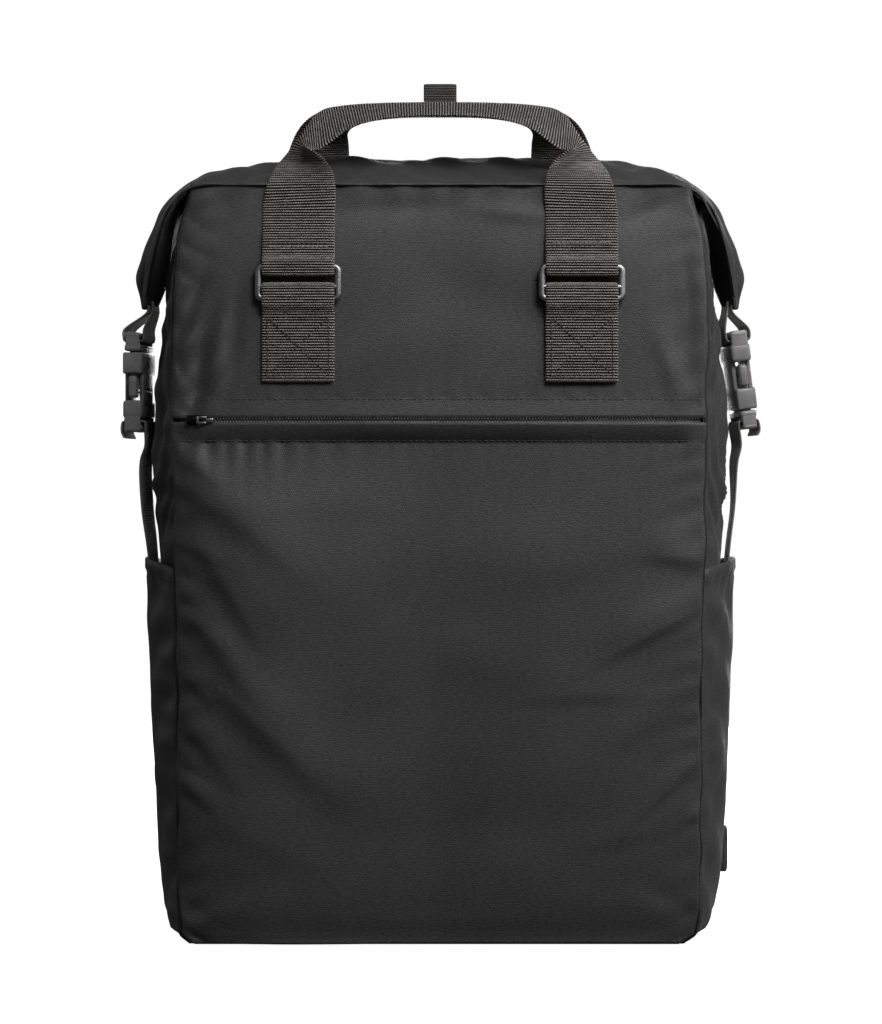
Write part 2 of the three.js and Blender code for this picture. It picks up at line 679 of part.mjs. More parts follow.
function socket() {
  const half = buckleWidth / 2;
  const windowHeight = windowHigh - windowLow;
  const slotMiddle = (socketSlot.low + socketSlot.high) / 2;
  const cutters = [
    box(cavityThickness, 2 * cavityHalf, cavityLength + 1, 0, 0, (1 - cavityLength) / 2),
    box(throughCut, slotLength, socketSlot.high - socketSlot.low, 0, 0, slotMiddle),
  ];
  for (const side of [-1, 1]) {
    const middle = side * (half - windowDepth / 2 + 1);
    cutters.push(box(throughCut, windowDepth + 2, windowHeight, 0, middle, (windowHigh + windowLow) / 2));
  }
  return cut(plateYZ(half, -socketLength, 0, buckleThickness, 4), cutters);
}

// The middle guide, the sprung arms and the catches that show in the windows
const guide = { width: 5, length: 21, z: -8 };
const arm = { width: 3.4, length: 27, y: 10.3, z: -11.5 };
const catchBlock = { width: 4.2, length: 11, y: 12.8, z: -19 };

function prongs() {
  const half = buckleWidth / 2;
  const thickness = cavityThickness - 2 * gap;
  const slotMiddle = (prongSlot.low + prongSlot.high) / 2;
  const base = cut(plateYZ(half, 0.6, prongBaseLength, buckleThickness - 2, 3), [
    box(throughCut, slotLength, prongSlot.high - prongSlot.low, 0, 0, slotMiddle),
  ]);
  const pieces = [base, box(thickness, guide.width, guide.length, 0, 0, guide.z)];
  for (const side of [-1, 1]) {
    for (const block of [arm, catchBlock]) {
      pieces.push(box(thickness, block.width, block.length, 0, side * block.y, block.z));
    }
  }
  return join(pieces);
}

// A loop of webbing in a buckle's own frame: rows of place across the thickness and height
function profileBand(rows, stepsEach) {
  const edge = (y) => rows.map((row) => new THREE.Vector3(row.x, y, row.z));
  return band(edge(-sideWebWidth / 2), edge(sideWebWidth / 2), stepsEach, web);
}

// Round a bar that is half thick each way, from one tail of points to the other
const barReach = 4.6;
const turnClearance = 0.3;
const turnCorner = { across: 0.86, along: 0.2 };

function loopRound(tailIn, bar, tailOut) {
  const reach = bar.half + gap + web;
  const turn = bar.edge + bar.way * (gap + web + turnClearance);
  return [
    ...tailIn,
    { x: -reach, z: bar.edge - bar.way * barReach },
    { x: -reach, z: bar.edge },
    { x: -reach * turnCorner.across, z: turn - bar.way * turnCorner.along },
    { x: 0, z: turn },
    { x: reach * turnCorner.across, z: turn - bar.way * turnCorner.along },
    { x: reach, z: bar.edge },
    { x: reach, z: bar.edge - bar.way * barReach },
    ...tailOut,
  ];
}

// Where an ear's tip and the pocket's mouth are, as seen from the buckle
const layerGap = 0.3;
const earTip = { x: 160.1, z: 350.5 };
const pocketFoot = { x: 157, z: 168 };
const strapWay = [
  { x: 158.8, z: 212 },
  { x: 161.6, z: 238 },
  { x: 162.2, z: 262 },
];

for (const buckle of buckles) {
  const group = new THREE.Group();
  const lean = THREE.MathUtils.degToRad(buckle.lean);
  group.position.set(buckle.side * buckle.x, 0, buckle.z);
  group.rotation.y = -buckle.side * lean;
  backpack.add(group);
  const socketTurn = buckle.socketUp ? Math.PI : 0;
  const socketMesh = add(`buckle_socket_${buckle.name}`, socket(), materials.plastic, group);
  const prongsMesh = add(`buckle_prongs_${buckle.name}`, prongs(), materials.plastic, group);
  socketMesh.rotation.x = socketTurn;
  prongsMesh.rotation.x = socketTurn;
  group.updateMatrixWorld(true);
  // The upper bar holds the ear loop and the lower one the side strap
  const prongBar = (prongSlot.high + prongBaseLength) / 2;
  const socketBar = (socketSlot.low - socketLength) / 2;
  const lowerBar = buckle.socketUp ? -prongBar : socketBar;
  const upperHalf = buckle.socketUp ? buckleThickness / 2 : buckleThickness / 2 - 1;
  const lowerHalf = buckle.socketUp ? buckleThickness / 2 - 1 : buckleThickness / 2;
  const upperSlot = buckle.socketUp ? -socketSlot.low : prongSlot.high;
  const lowerSlot = buckle.socketUp ? -prongSlot.high : socketSlot.low;
  const local = (point, shift) => {
    const inGroup = group.worldToLocal(new THREE.Vector3(buckle.side * (point.x + shift), 0, point.z));
    return { x: buckle.side * inGroup.x, z: inGroup.z };
  };
  const outward = (rows) => rows.map((row) => ({ x: buckle.side * row.x, z: row.z }));
  const belowTip = { x: earTip.x, z: earTip.z - 5 };
  const upperShift = web + layerGap;
  const lowerShift = upperShift + gap;
  const loopRows = loopRound(
    [local(earTip, -upperShift), local(belowTip, -lowerShift)],
    { half: upperHalf, edge: upperSlot, way: -1 },
    [local(belowTip, lowerShift), local(earTip, upperShift)],
  );
  const loopEdge = buckle.side > 0 ? outward(loopRows) : outward(loopRows).reverse();
  add(`ear_loop_${buckle.name}`, profileBand(loopEdge, 2), materials.webbing, group);
  const strapRoute = loopRound(
    [
      local(pocketFoot, 0),
      ...strapWay.map((point) => local(point, 0)),
      { x: -lowerHalf - gap - web, z: lowerBar - 10 },
    ],
    { half: lowerHalf, edge: lowerSlot, way: 1 },
    [{ x: lowerHalf - 2, z: lowerBar - 9 }],
  );
  const strapEdge = buckle.side > 0 ? outward(strapRoute).reverse() : outward(strapRoute);
  add(`side_strap_${buckle.name}`, profileBand(strapEdge, 2), materials.webbing, group);
}

// Shoulder straps, adjusters, lower webbing and anchor tabs
function yokePoint(u, v) {
  const x = (1 - 2 * u) * yokeHalfWidth;
  const z = THREE.MathUtils.lerp(yokeLow, yokeHigh, v);
  return new THREE.Vector3(x, backFace(x, z) + 2 * gap + cloth, z);
}

add("yoke", sheet(yokePoint, 8, 1, cloth), materials.cloth);

const adjusterHalfWidth = 18;
const adjusterHalfHeight = 9;
const adjusterShift = { x: 4, y: -5.4, z: -11.4 };
const adjusterLean = { x: -0.244, y: 0.12 };
const adjusterSlots = [
  { z: -3.2, halfWidth: 13.2, halfHeight: 1.8 },
  { z: 3.4, halfWidth: 13.2, halfHeight: 1.8 },
];
const webTilt = 0.475;
const anchorLow = 27;
const anchorHigh = 52;
const anchorRows = [
  { x: 147, y: 65.4 },
  { x: 157, y: 68.2 },
  { x: 165, y: 69.4 },
];
const leftAnchorShift = -8;

for (const [name, side] of [["left", -1], ["right", 1]]) {
  const inner = [];
  const outer = [];
  for (const row of strapRows) {
    inner.push(new THREE.Vector3(side * (row.x - row.width / 2), row.y, row.z));
    outer.push(new THREE.Vector3(side * (row.x + row.width / 2), row.y, row.z));
  }
  const [from, to] = side > 0 ? [inner, outer] : [outer, inner];
  const strapSheet = band(from, to, 3, strapPadding, 2);
  add(`shoulder_strap_${name}`, strapSheet, materials.cloth);

  const end = strapRows[strapRows.length - 1];
  const adjuster = plateXZ(adjusterHalfWidth, adjusterHalfHeight, 3, 4, 0.8, adjusterSlots);
  const adjusterMesh = add(`adjuster_${name}`, adjuster, materials.plastic);
  const { x, y, z } = adjusterShift;
  adjusterMesh.position.set(side * (end.x + x), end.y + y, end.z + z);
  adjusterMesh.rotation.set(adjusterLean.x, side * adjusterLean.y, 0, "YXZ");

  const webWay = new THREE.Vector3(Math.cos(webTilt), 0, side * Math.sin(webTilt));
  const webEdge = (way) => lowerWebRows.map((row) => {
    const middle = new THREE.Vector3(side * row.x, row.y, row.z);
    return middle.addScaledVector(webWay, way * sideWebWidth / 2);
  });
  add(`lower_web_${name}`, band(webEdge(-1), webEdge(1), 2, web), materials.webbing);

  const shift = side < 0 ? leftAnchorShift : 0;
  const anchorEdge = (height) => anchorRows.map((row) => {
    return new THREE.Vector3(side * (row.x + shift), row.y, height);
  });
  const low = anchorEdge(anchorLow);
  const high = anchorEdge(anchorHigh);
  const anchor = side > 0 ? band(high, low, 2, 2 * web) : band(low, high, 2, 2 * web);
  add(`anchor_tab_${name}`, anchor, materials.webbing);
}

export default backpack;
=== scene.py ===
import math

import bmesh
import bpy
import numpy as np
from mathutils import Matrix, Vector


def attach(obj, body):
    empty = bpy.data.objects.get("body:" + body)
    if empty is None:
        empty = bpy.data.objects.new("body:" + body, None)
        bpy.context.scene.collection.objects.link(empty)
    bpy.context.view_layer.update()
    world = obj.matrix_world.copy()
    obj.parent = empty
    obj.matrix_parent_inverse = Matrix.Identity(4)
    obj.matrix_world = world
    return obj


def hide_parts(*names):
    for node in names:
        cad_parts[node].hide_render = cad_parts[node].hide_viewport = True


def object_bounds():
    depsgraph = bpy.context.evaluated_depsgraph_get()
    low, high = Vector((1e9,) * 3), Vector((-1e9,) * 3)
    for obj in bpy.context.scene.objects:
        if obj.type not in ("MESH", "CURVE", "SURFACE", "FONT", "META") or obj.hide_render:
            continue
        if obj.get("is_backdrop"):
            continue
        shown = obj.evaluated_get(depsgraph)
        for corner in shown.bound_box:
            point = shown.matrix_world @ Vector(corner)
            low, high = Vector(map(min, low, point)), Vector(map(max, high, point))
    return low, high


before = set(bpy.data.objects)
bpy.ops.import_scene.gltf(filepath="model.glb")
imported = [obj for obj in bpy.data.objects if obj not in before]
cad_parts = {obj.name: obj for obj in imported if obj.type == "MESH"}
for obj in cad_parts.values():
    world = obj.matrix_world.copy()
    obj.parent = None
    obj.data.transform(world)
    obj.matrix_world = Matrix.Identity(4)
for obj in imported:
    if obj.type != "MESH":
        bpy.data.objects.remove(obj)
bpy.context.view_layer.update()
mm = 0.001  # the tables are in millimetres, Blender is in metres
bothSides = (("left", -1), ("right", 1))  # as the bag is seen from the front
cloth = 1.8  # thickness of the walls
web = 1.5  # thickness of the webbing
gap = 0.4  # between two layers of webbing
lay = 0.8  # between webbing and the cloth under it

# the bag's walls from the ground up: half-widths, depths of the seams, and crown of the front
body = {
    "z": [0, 6, 17, 45, 100, 156, 207, 245, 290, 335, 370, 412],
    "front": [127, 136.5, 140, 140, 141, 141, 142, 143, 144, 144, 143, 136],
    "side": [131, 141.5, 147.5, 150, 151, 153, 156, 159, 159, 155, 149, 138],
    "back": [128, 137, 141.5, 144, 145, 145, 145, 145, 145, 145, 144, 138],
    "frontY": [-59, -61, -62.5, -64, -65.5, -66, -66, -65.5, -65, -64, -62.5, -59],
    "backY": [58, 60, 62, 63, 64, 65, 65, 65, 64.5, 63.5, 62, 59],
    "crown": [0.5, 1.5, 3, 5, 6.5, 7, 7, 6, 5, 4.5, 4, 2],
    "pocket": [134.5, 145.5, 152.5, 157, 160, 162, 163.5, 165, 165, 165, 165, 165],
}


def linear(hexCode):
    parts = [int(hexCode[i:i + 2], 16) / 255 for i in (1, 3, 5)]
    return [p / 12.92 if p <= 0.04045 else ((p + 0.055) / 1.055) ** 2.4 for p in parts] + [1.0]


def addNode(tree, kind, settings, links):
    node = tree.nodes.new("ShaderNode" + kind)
    for key, value in settings.items():
        setattr(node, key, value)
    for key, source in links.items():
        if isinstance(source, bpy.types.Node):
            source = source.outputs[0]
        if isinstance(source, bpy.types.NodeSocket):
            tree.links.new(source, node.inputs[key])
        else:
            node.inputs[key].default_value = source
    return node


def startMaterial(name, fixed):
    material = bpy.data.materials.new(name)
    material.use_nodes = True
    shader = material.node_tree.nodes["Principled BSDF"]
    for key, value in fixed.items():
        shader.inputs[key].default_value = value
    return material, material.node_tree, shader


# rows of weft, each broken by warp ends that stand half a pitch over from the row before
def weaveField(tree, place, settings):
    parts = addNode(tree, "SeparateXYZ", {}, {0: place})
    turns = addNode(tree, "Math", {"operation": "DIVIDE"}, {0: parts.outputs[1], 1: settings["rib"]})
    angle = addNode(tree, "Math", {"operation": "MULTIPLY"}, {0: turns, 1: 2 * math.pi})
    rows = addNode(tree, "Math", {"operation": "COSINE"}, {0: angle})
    nearest = addNode(tree, "Math", {"operation": "ROUND"}, {0: turns})
    stagger = addNode(tree, "Math", {"operation": "MULTIPLY"}, {0: nearest, 1: math.pi})
    ends = addNode(tree, "Math", {"operation": "MULTIPLY_ADD"}, {
        0: parts.outputs[0], 1: 2 * math.pi / settings["warp"], 2: stagger})
    raised = addNode(tree, "Math", {"operation": "SINE"}, {0: ends})
    return addNode(tree, "Math", {"operation": "MULTIPLY_ADD"}, {
        0: raised, 1: settings["warpShare"], 2: rows})


# colour, roughness and relief from one field, as it runs from one end of the spread to the other
def dress(tree, shader, shade, height, settings, blend="SMOOTHSTEP"):
    low, high = settings["spread"]
    mixed = addNode(tree, "MapRange", {"interpolation_type": blend}, {
        "Value": shade, "From Min": low, "From Max": high})
    colour = addNode(tree, "Mix", {"data_type": "RGBA"}, {
        0: mixed, 6: linear(settings["dark"]), 7: linear(settings["light"])})
    start, end = settings["rough"]
    rough = addNode(tree, "MapRange", {}, {"Value": mixed, "To Min": start, "To Max": end})
    bump = addNode(tree, "Bump", {}, {
        "Height": height, "Strength": settings["bump"], "Distance": settings["relief"] * mm})
    tree.links.new(colour.outputs[2], shader.inputs["Base Color"])
    tree.links.new(rough.outputs[0], shader.inputs["Roughness"])
    tree.links.new(bump.outputs[0], shader.inputs["Normal"])


# Oxford polyester, piece-dyed and calendered: matt, with uneven weft threads that show as level slubs, and
# painted shade between the weave's threads with painted light on them.
# The thread is drawn about twice as coarse as the real 0.6 mm, so that it shows in the render.
# Sizes are in mm, as the weave's coordinates are; rough goes from the dark colour to the light one.
oxford = {"dark": "#1b1b1b", "light": "#474747", "rib": 1.15, "warp": 1.2, "warpShare": 0.9,
          "stray": (6.25, 6.25), "slub": (2.6, 0.9), "patch": (60, 60),
          "weavePaintedShade": 0.1, "slubShade": 0.7, "patchShade": 0.3, "spread": (0, 1),
          "rough": (0.62, 0.46), "bump": 0.3, "relief": 0.4}


def makeOxford(name, settings):
    material, tree, shader = startMaterial(name, {
        "IOR": 1.5, "Specular IOR Level": 0.42, "Sheen Weight": 0.08, "Sheen Roughness": 0.45})
    uv = addNode(tree, "UVMap", {"uv_map": "weave"}, {})
    noise = {}
    for key, detail in (("stray", 2), ("slub", 2), ("patch", 3)):
        scaled = addNode(tree, "VectorMath", {"operation": "DIVIDE"}, {0: uv, 1: (*settings[key], 1)})
        noise[key] = addNode(tree, "TexNoise", {"noise_dimensions": "2D"}, {
            "Vector": scaled, "Scale": 1, "Detail": detail, "Roughness": 0.6})
    rise = addNode(tree, "Math", {"operation": "MULTIPLY"}, {0: noise["stray"], 1: 2})
    shift = addNode(tree, "CombineXYZ", {}, {0: noise["stray"], 1: rise})
    weave = weaveField(tree, addNode(tree, "VectorMath", {"operation": "ADD"}, {0: uv, 1: shift}), settings)
    slub = addNode(tree, "Math", {"operation": "MULTIPLY"}, {0: noise["slub"], 1: settings["slubShade"]})
    # the weave's rows share in the colour: painted shade between the threads, painted light on them
    threads = addNode(tree, "Math", {"operation": "MULTIPLY_ADD"}, {
        0: weave, 1: settings["weavePaintedShade"], 2: slub})
    shade = addNode(tree, "Math", {"operation": "MULTIPLY_ADD"}, {
        0: noise["patch"], 1: settings["patchShade"], 2: threads})
    dress(tree, shader, shade, threads, settings)
    return material


# Polyester grosgrain webbing, woven on a narrow loom: raised weft ribs broken by the warp, with painted shade
# in the valleys and painted highlights on the crests
grosgrain = {"dark": "#090909", "light": "#a29f9c", "rib": 1.5, "warp": 1.35, "warpShare": 0.45,
             "wear": (25 / 3, 10 / 9), "wearShade": 1.6, "spread": (0, 2.5),
             "rough": (0.85, 0.5), "bump": 0.6, "relief": 0.25}


def makeWebbing(name, settings):
    material, tree, shader = startMaterial(name, {
        "IOR": 1.5, "Specular IOR Level": 0.2, "Sheen Weight": 0.05, "Sheen Roughness": 0.4})
    uv = addNode(tree, "UVMap", {"uv_map": "weave"}, {})
    weave = weaveField(tree, uv, settings)
    scaled = addNode(tree, "VectorMath", {"operation": "DIVIDE"}, {0: uv, 1: (*settings["wear"], 1)})
    wear = addNode(tree, "TexNoise", {"noise_dimensions": "2D"}, {
        "Vector": scaled, "Scale": 1, "Detail": 3, "Roughness": 0.6})
    # the ribs set the colour as well as the relief: painted shade in the valleys, painted highlights on the
    # crests
    shade = addNode(tree, "Math", {"operation": "MULTIPLY_ADD"}, {
        0: wear, 1: settings["wearShade"], 2: weave})
    dress(tree, shader, shade, weave, settings)
    return material


# moulded, plated or spun pieces on bare object space: a fine grain, in mm, over blotches twelve times as wide
grained = {"blotch": 12.5, "grainShade": 0.5, "spread": (0.45, 1.05), "relief": 0.1}


def makeGrained(name, fixed, own):
    material, tree, shader = startMaterial(name, fixed)
    settings = {**grained, **own}
    place = addNode(tree, "TexCoord", {}, {}).outputs["Object"]
    scale = 1 / (settings["grain"] * mm)
    grain = addNode(tree, "TexNoise", {}, {"Vector": place, "Scale": scale, "Detail": 3})
    blotch = addNode(tree, "TexNoise", {}, {
        "Vector": place, "Scale": scale / settings["blotch"], "Detail": 2})
    shade = addNode(tree, "Math", {"operation": "MULTIPLY_ADD"}, {
        0: grain, 1: settings["grainShade"], 2: blotch})
    dress(tree, shader, shade, grain, settings, "LINEAR")
    return material


oxfordCloth = makeOxford("oxfordPolyester", oxford)
# the back's and shoulder straps' cloth over foam: a shade darker
paddedCloth = makeOxford("paddedOxfordPolyester", {**oxford, "light": "#404040"})
# the same cloth cut on the bias round the piping cord, painted nearly black: painted shade of the seams'
# crevices
pipingShadeCloth = makeOxford("biasOxfordPaintedShade", {**oxford, "dark": "#0b0b0b", "light": "#1c1c1c"})
# zip tape, painted nearly black beside the cloth: painted shade in the opening between the zip's lips
zipShadeTapeCloth = makeOxford("zipTapePaintedShade", {**oxford, "dark": "#060606", "light": "#121212"})
# the folded ears' inner cloth, painted deep black: painted shade in the hollow
earHollowShadeCloth = makeOxford("earHollowPaintedShade", {**oxford, "dark": "#0a0a0a", "light": "#1c1c1c"})
webbing = makeWebbing("grosgrainWebbing", grosgrain)
# the same webbing painted darker, with less contrast: painted shade on the hang loop and anchor tabs
webbingPaintedShade = makeWebbing("grosgrainPaintedShade", {**grosgrain, "dark": "#262525", "light": "#605d5b", "bump": 0.3})
# narrow side webbing: finer, smoother and paler; paler partly for its own grey and partly as painted light
# that lifts the strap on the shaded left side
paleWebbingPaintedLight = makeWebbing("paleGrosgrainPaintedLight", {
    **grosgrain, "dark": "#6c6b6a", "light": "#aeacaa", "rib": 0.9, "warp": 0.9, "bump": 0.2})
# acetal, injection moulded with a spark-eroded face: satin, soft highlights along the edges; painted a
# lighter grey than the dark grey plastic, as painted light on the buckles' shaded side
acetalPaintedLight = makeGrained("mouldedAcetalPaintedLight", {"IOR": 1.48, "Specular IOR Level": 0.5}, {
    "dark": "#737272", "light": "#8c8a8a", "grain": 0.6, "rough": (0.22, 0.34), "bump": 0.15})
# zinc, die-cast and plated in black nickel: painted light grey, a painted reflection of the white studio that
# glossy rays don't reach, with a sharp edge light
zincPaintedReflection = makeGrained("blackZincPaintedReflection", {"Metallic": 1.0}, {
    "dark": "#7c7c7e", "light": "#9a9a9c", "grain": 0.8, "rough": (0.3, 0.42), "bump": 0.15})
# steel, stamped and blackened: nearly black, its own finish together with painted shade of the recess under
# the zip's lip, with a small glint
blackSteelAndShade = makeGrained("blackenedSteelAndShade", {"Metallic": 1.0}, {
    "dark": "#1e1e1f", "light": "#333334", "grain": 0.6, "rough": (0.22, 0.34), "bump": 0.1})
# nylon monofilament, coiled: glossy, painted paler than the black coil, a painted highlight on each turn
nylonCoilPaintedGlints = makeGrained("nylonCoilPaintedGlints", {"IOR": 1.53}, {
    "dark": "#3c3c3c", "light": "#6a6a6a", "grain": 0.5, "rough": (0.22, 0.34), "bump": 0.1})
# core-spun polyester sewing thread: as dark as the cloth, rounder; its darkness partly painted shade of the
# stitch holes
sewing = {"dark": "#161616", "light": "#303030", "grain": 0.35, "rough": (0.5, 0.7), "bump": 0.4}
thread = makeGrained("polyesterThreadPaintedShade", {"IOR": 1.5, "Sheen Weight": 0.3}, sewing)
# heavier bonded thread for the bar tacks: paler than the webbing it holds
tackThread = makeGrained("bondedThread", {"IOR": 1.5, "Sheen Weight": 0.3}, {
    **sewing, "dark": "#4c4b4a", "light": "#868482"})
print("materials made")


def hermite(start, rise, end, following, t):
    t2, t3 = t * t, t * t * t
    return ((2 * t3 - 3 * t2 + 1) * start + (t3 - 2 * t2 + t) * rise
            + (3 * t2 - 2 * t3) * end + (t3 - t2) * following)


def cubicAt(values, place):
    values = np.asarray(values, float)
    last = len(values) - 1
    index = np.clip(np.floor(place).astype(int), 0, last - 1)
    before, start, end, after = (values[np.clip(index + k, 0, last)] for k in (-1, 0, 1, 2))
    return hermite(start, (end - before) / 2, end, (after - start) / 2, place - index)


def bodyAt(name, z):
    heights = np.array(body["z"], float)
    z = np.asarray(z, float)
    upper = np.clip(np.searchsorted(heights, z), 1, len(heights) - 1)
    low, high = heights[upper - 1], heights[upper]
    return cubicAt(body[name], upper - 1 + (z - low) / (high - low))


def smooth(value, low, high):
    t = np.clip((value - low) / (high - low), 0, 1)
    return t * t * (3 - 2 * t)


def bell(value, middle, reach):
    return np.exp(-((value - middle) / reach) ** 2)


# folds as (x, z, lean in degrees, half length, half width, depth inwards); a fold with two half widths has
# one below its crest and one above it
def foldDepth(folds, x, z):
    depth = np.zeros(np.broadcast(x, z).shape)
    for foldX, foldZ, lean, length, width, deep in folds:
        c, s = math.cos(math.radians(lean)), math.sin(math.radians(lean))
        along = (x - foldX) * c + (z - foldZ) * s
        across = (z - foldZ) * c - (x - foldX) * s
        reach = np.where(across < 0, *width) if isinstance(width, tuple) else width
        depth = depth + deep * np.exp(-(along / length) ** 2 - (across / reach) ** 2)
    return depth


clothFolds = [  # below the zip on the left, on the right, above the zip, then softer ones all over
    (-115, 196, -58, 30, (6, 32), -2.8), (-99, 123, -43, 36, (8, 30), -3.2),
    (-127, 171, -45, 18, (4, 12), -1.8), (-127, 110, -52, 20, (4.5, 14), -2.0),
    (-127, 242, -35, 24, (7, 16), -2.1), (-132, 260, -40, 13, (4, 8), -1.3),
    (-100, 225, -42, 36, (9, 20), -1.3), (-114, 152, -50, 22, (4, 12), -1.2),
    (-104, 62, -24, 38, (9, 24), -0.9), (-70, 96, -34, 40, (12, 20), -1.0),
    (-132, 214, -25, 14, (3.5, 7), -1.3), (-132, 142, -48, 13, (3.5, 6), -1.4),
    (-133, 84, -40, 13, (3.5, 7), -1.3),
    (116, 170, 28, 27, (4, 18), -1.7), (124, 86, 44, 23, (2.6, 10), -0.9), (75, 136, 2, 26, (5, 16), -0.7),
    (128, 210, -5, 15, (5, 14), -1.4), (138, 70, 37, 7, (2.2, 5), -1.0), (100, 60, 12, 30, (6, 14), -0.6),
    (110, 120, 36, 30, (6, 12), -0.6), (60, 205, 15, 46, (12, 24), -0.7),
    (-130, 309, 82, 24, 4.5, 1.5), (-121, 318, 78, 26, 4.5, -1.1), (-111, 330, 85, 24, 5, 0.9),
    (-134, 345, 70, 20, 4, 1.3), (-136, 328, 60, 14, 3.5, -1.0), (-128, 300, 50, 16, 4, 1.0),
    (-118, 304, 60, 14, 4, -0.8), (-127, 322, 80, 32, 11, 0.8), (131, 330, 100, 30, 6, 0.9),
    (124, 312, 110, 22, 5, -0.7), (134, 352, 95, 20, 4, 0.8), (118, 398, 20, 20, 5, 0.9),
    (-40, 120, 10, 70, 22, 0.7), (30, 62, 5, 80, 18, 0.6), (10, 160, -14, 60, 16, -0.5),
    (-20, 205, 15, 70, 24, -0.6), (-125, 25, 30, 22, 7, 1.0), (128, 22, -30, 20, 7, 0.8),
    (0, 22, 0, 90, 8, 0.8), (20, 350, -25, 50, 18, 0.8), (-30, 320, 20, 40, 14, -0.7),
    (-20, 398, 3, 40, 6, 0.8), (38, 396, -6, 24, 5, -0.7),
]
foldShare = 1.2  # the front's folds are drawn this much deeper than listed


# the rows' joints would show as bands on the front, so it takes the mean of five heights
def evenedAt(name, z):
    return sum(bodyAt(name, np.clip(z + step, 0, None)) for step in (-8, -4, 0, 4, 8)) / 5


def frontFace(x, z):
    across = x / bodyAt("front", z)
    return evenedAt("frontY", z) - evenedAt("crown", z) * (1 - across ** 2)


backCrown = 3  # how far the back swells between its seams


def backFace(x, z):
    across = x / bodyAt("back", z)
    return bodyAt("backY", z) + backCrown * (1 - across ** 2)


# the side seams waver where the folds pull on them
def seamWaver(z):
    return 0.3 + 0.5 * np.sin(z / 9.1) + 0.45 * np.sin(z / 23 + 2) + 0.3 * np.sin(z / 5.3 + 1)


# the lower corners are squarer than the solids', the left one most: growth at the ground, and its fading
cornerFill = {-1: (8.5, 8), 1: (4, 6)}


def filledAt(name, z, side):
    growth, fade = cornerFill[side]
    return bodyAt(name, z) + growth * np.exp(-np.maximum(z, 0) / fade)


# the left seam lies deeper than the right one, and the panel laps over it, from a little above the ground
seamRoll = {"depth": 4.2, "width": 6, "lap": 1.9, "behind": 2.7, "wall": 2.0, "from": (8, 40),
            "shallower": 0.5, "shallowFrom": (225, 262), "lapEnds": (282, 330)}


def rollDepth(z):
    shallow = seamRoll["shallower"] * smooth(z, *seamRoll["shallowFrom"])
    return seamRoll["depth"] * smooth(z, *seamRoll["from"]) * (1 - shallow)


def rollLap(z):
    return seamRoll["lap"] * smooth(z, *seamRoll["from"]) * (1 - smooth(z, *seamRoll["lapEnds"]))


# the zip's opening, with the upper panel's lip, the lower panel's ledge, and how far up and down they reach
zipper = {"z": 283.5, "lip": 1.2, "ledge": 7, "reach": 11.8, "lips": 1.9, "stitch": 11.2, "endIn": 3.5,
          "tapeHalf": 10, "tapeBehind": 0.8, "tapeThick": 1.0}
panels = {"low": 1.4, "top": 411.6, "seam": 0.5, "across": 170}
# how the front's cloth stands off its plain face, in mm: the fuller left side below the zip, the foot's turn
# outwards and the roll above it, the ledge's share at the seams and far from its middle, puckers and crumples
fullness = {"most": 14.5, "from": 6, "to": 50}
foot = {"turn": 1.6, "fade": 7, "roll": 0.8, "rollZ": 22, "rollReach": 9}
ledge = {"atSeam": 0.25, "seamReach": 16, "away": 0.5, "middle": 5, "reach": 90}
puckers = {"below": 0.1, "belowEnds": 0.45, "above": 0.16, "top": 0.35,
           "left": 0.5, "right": 0.28, "fade": 12}
crumples = {"height": 0.85, "fade": 9}


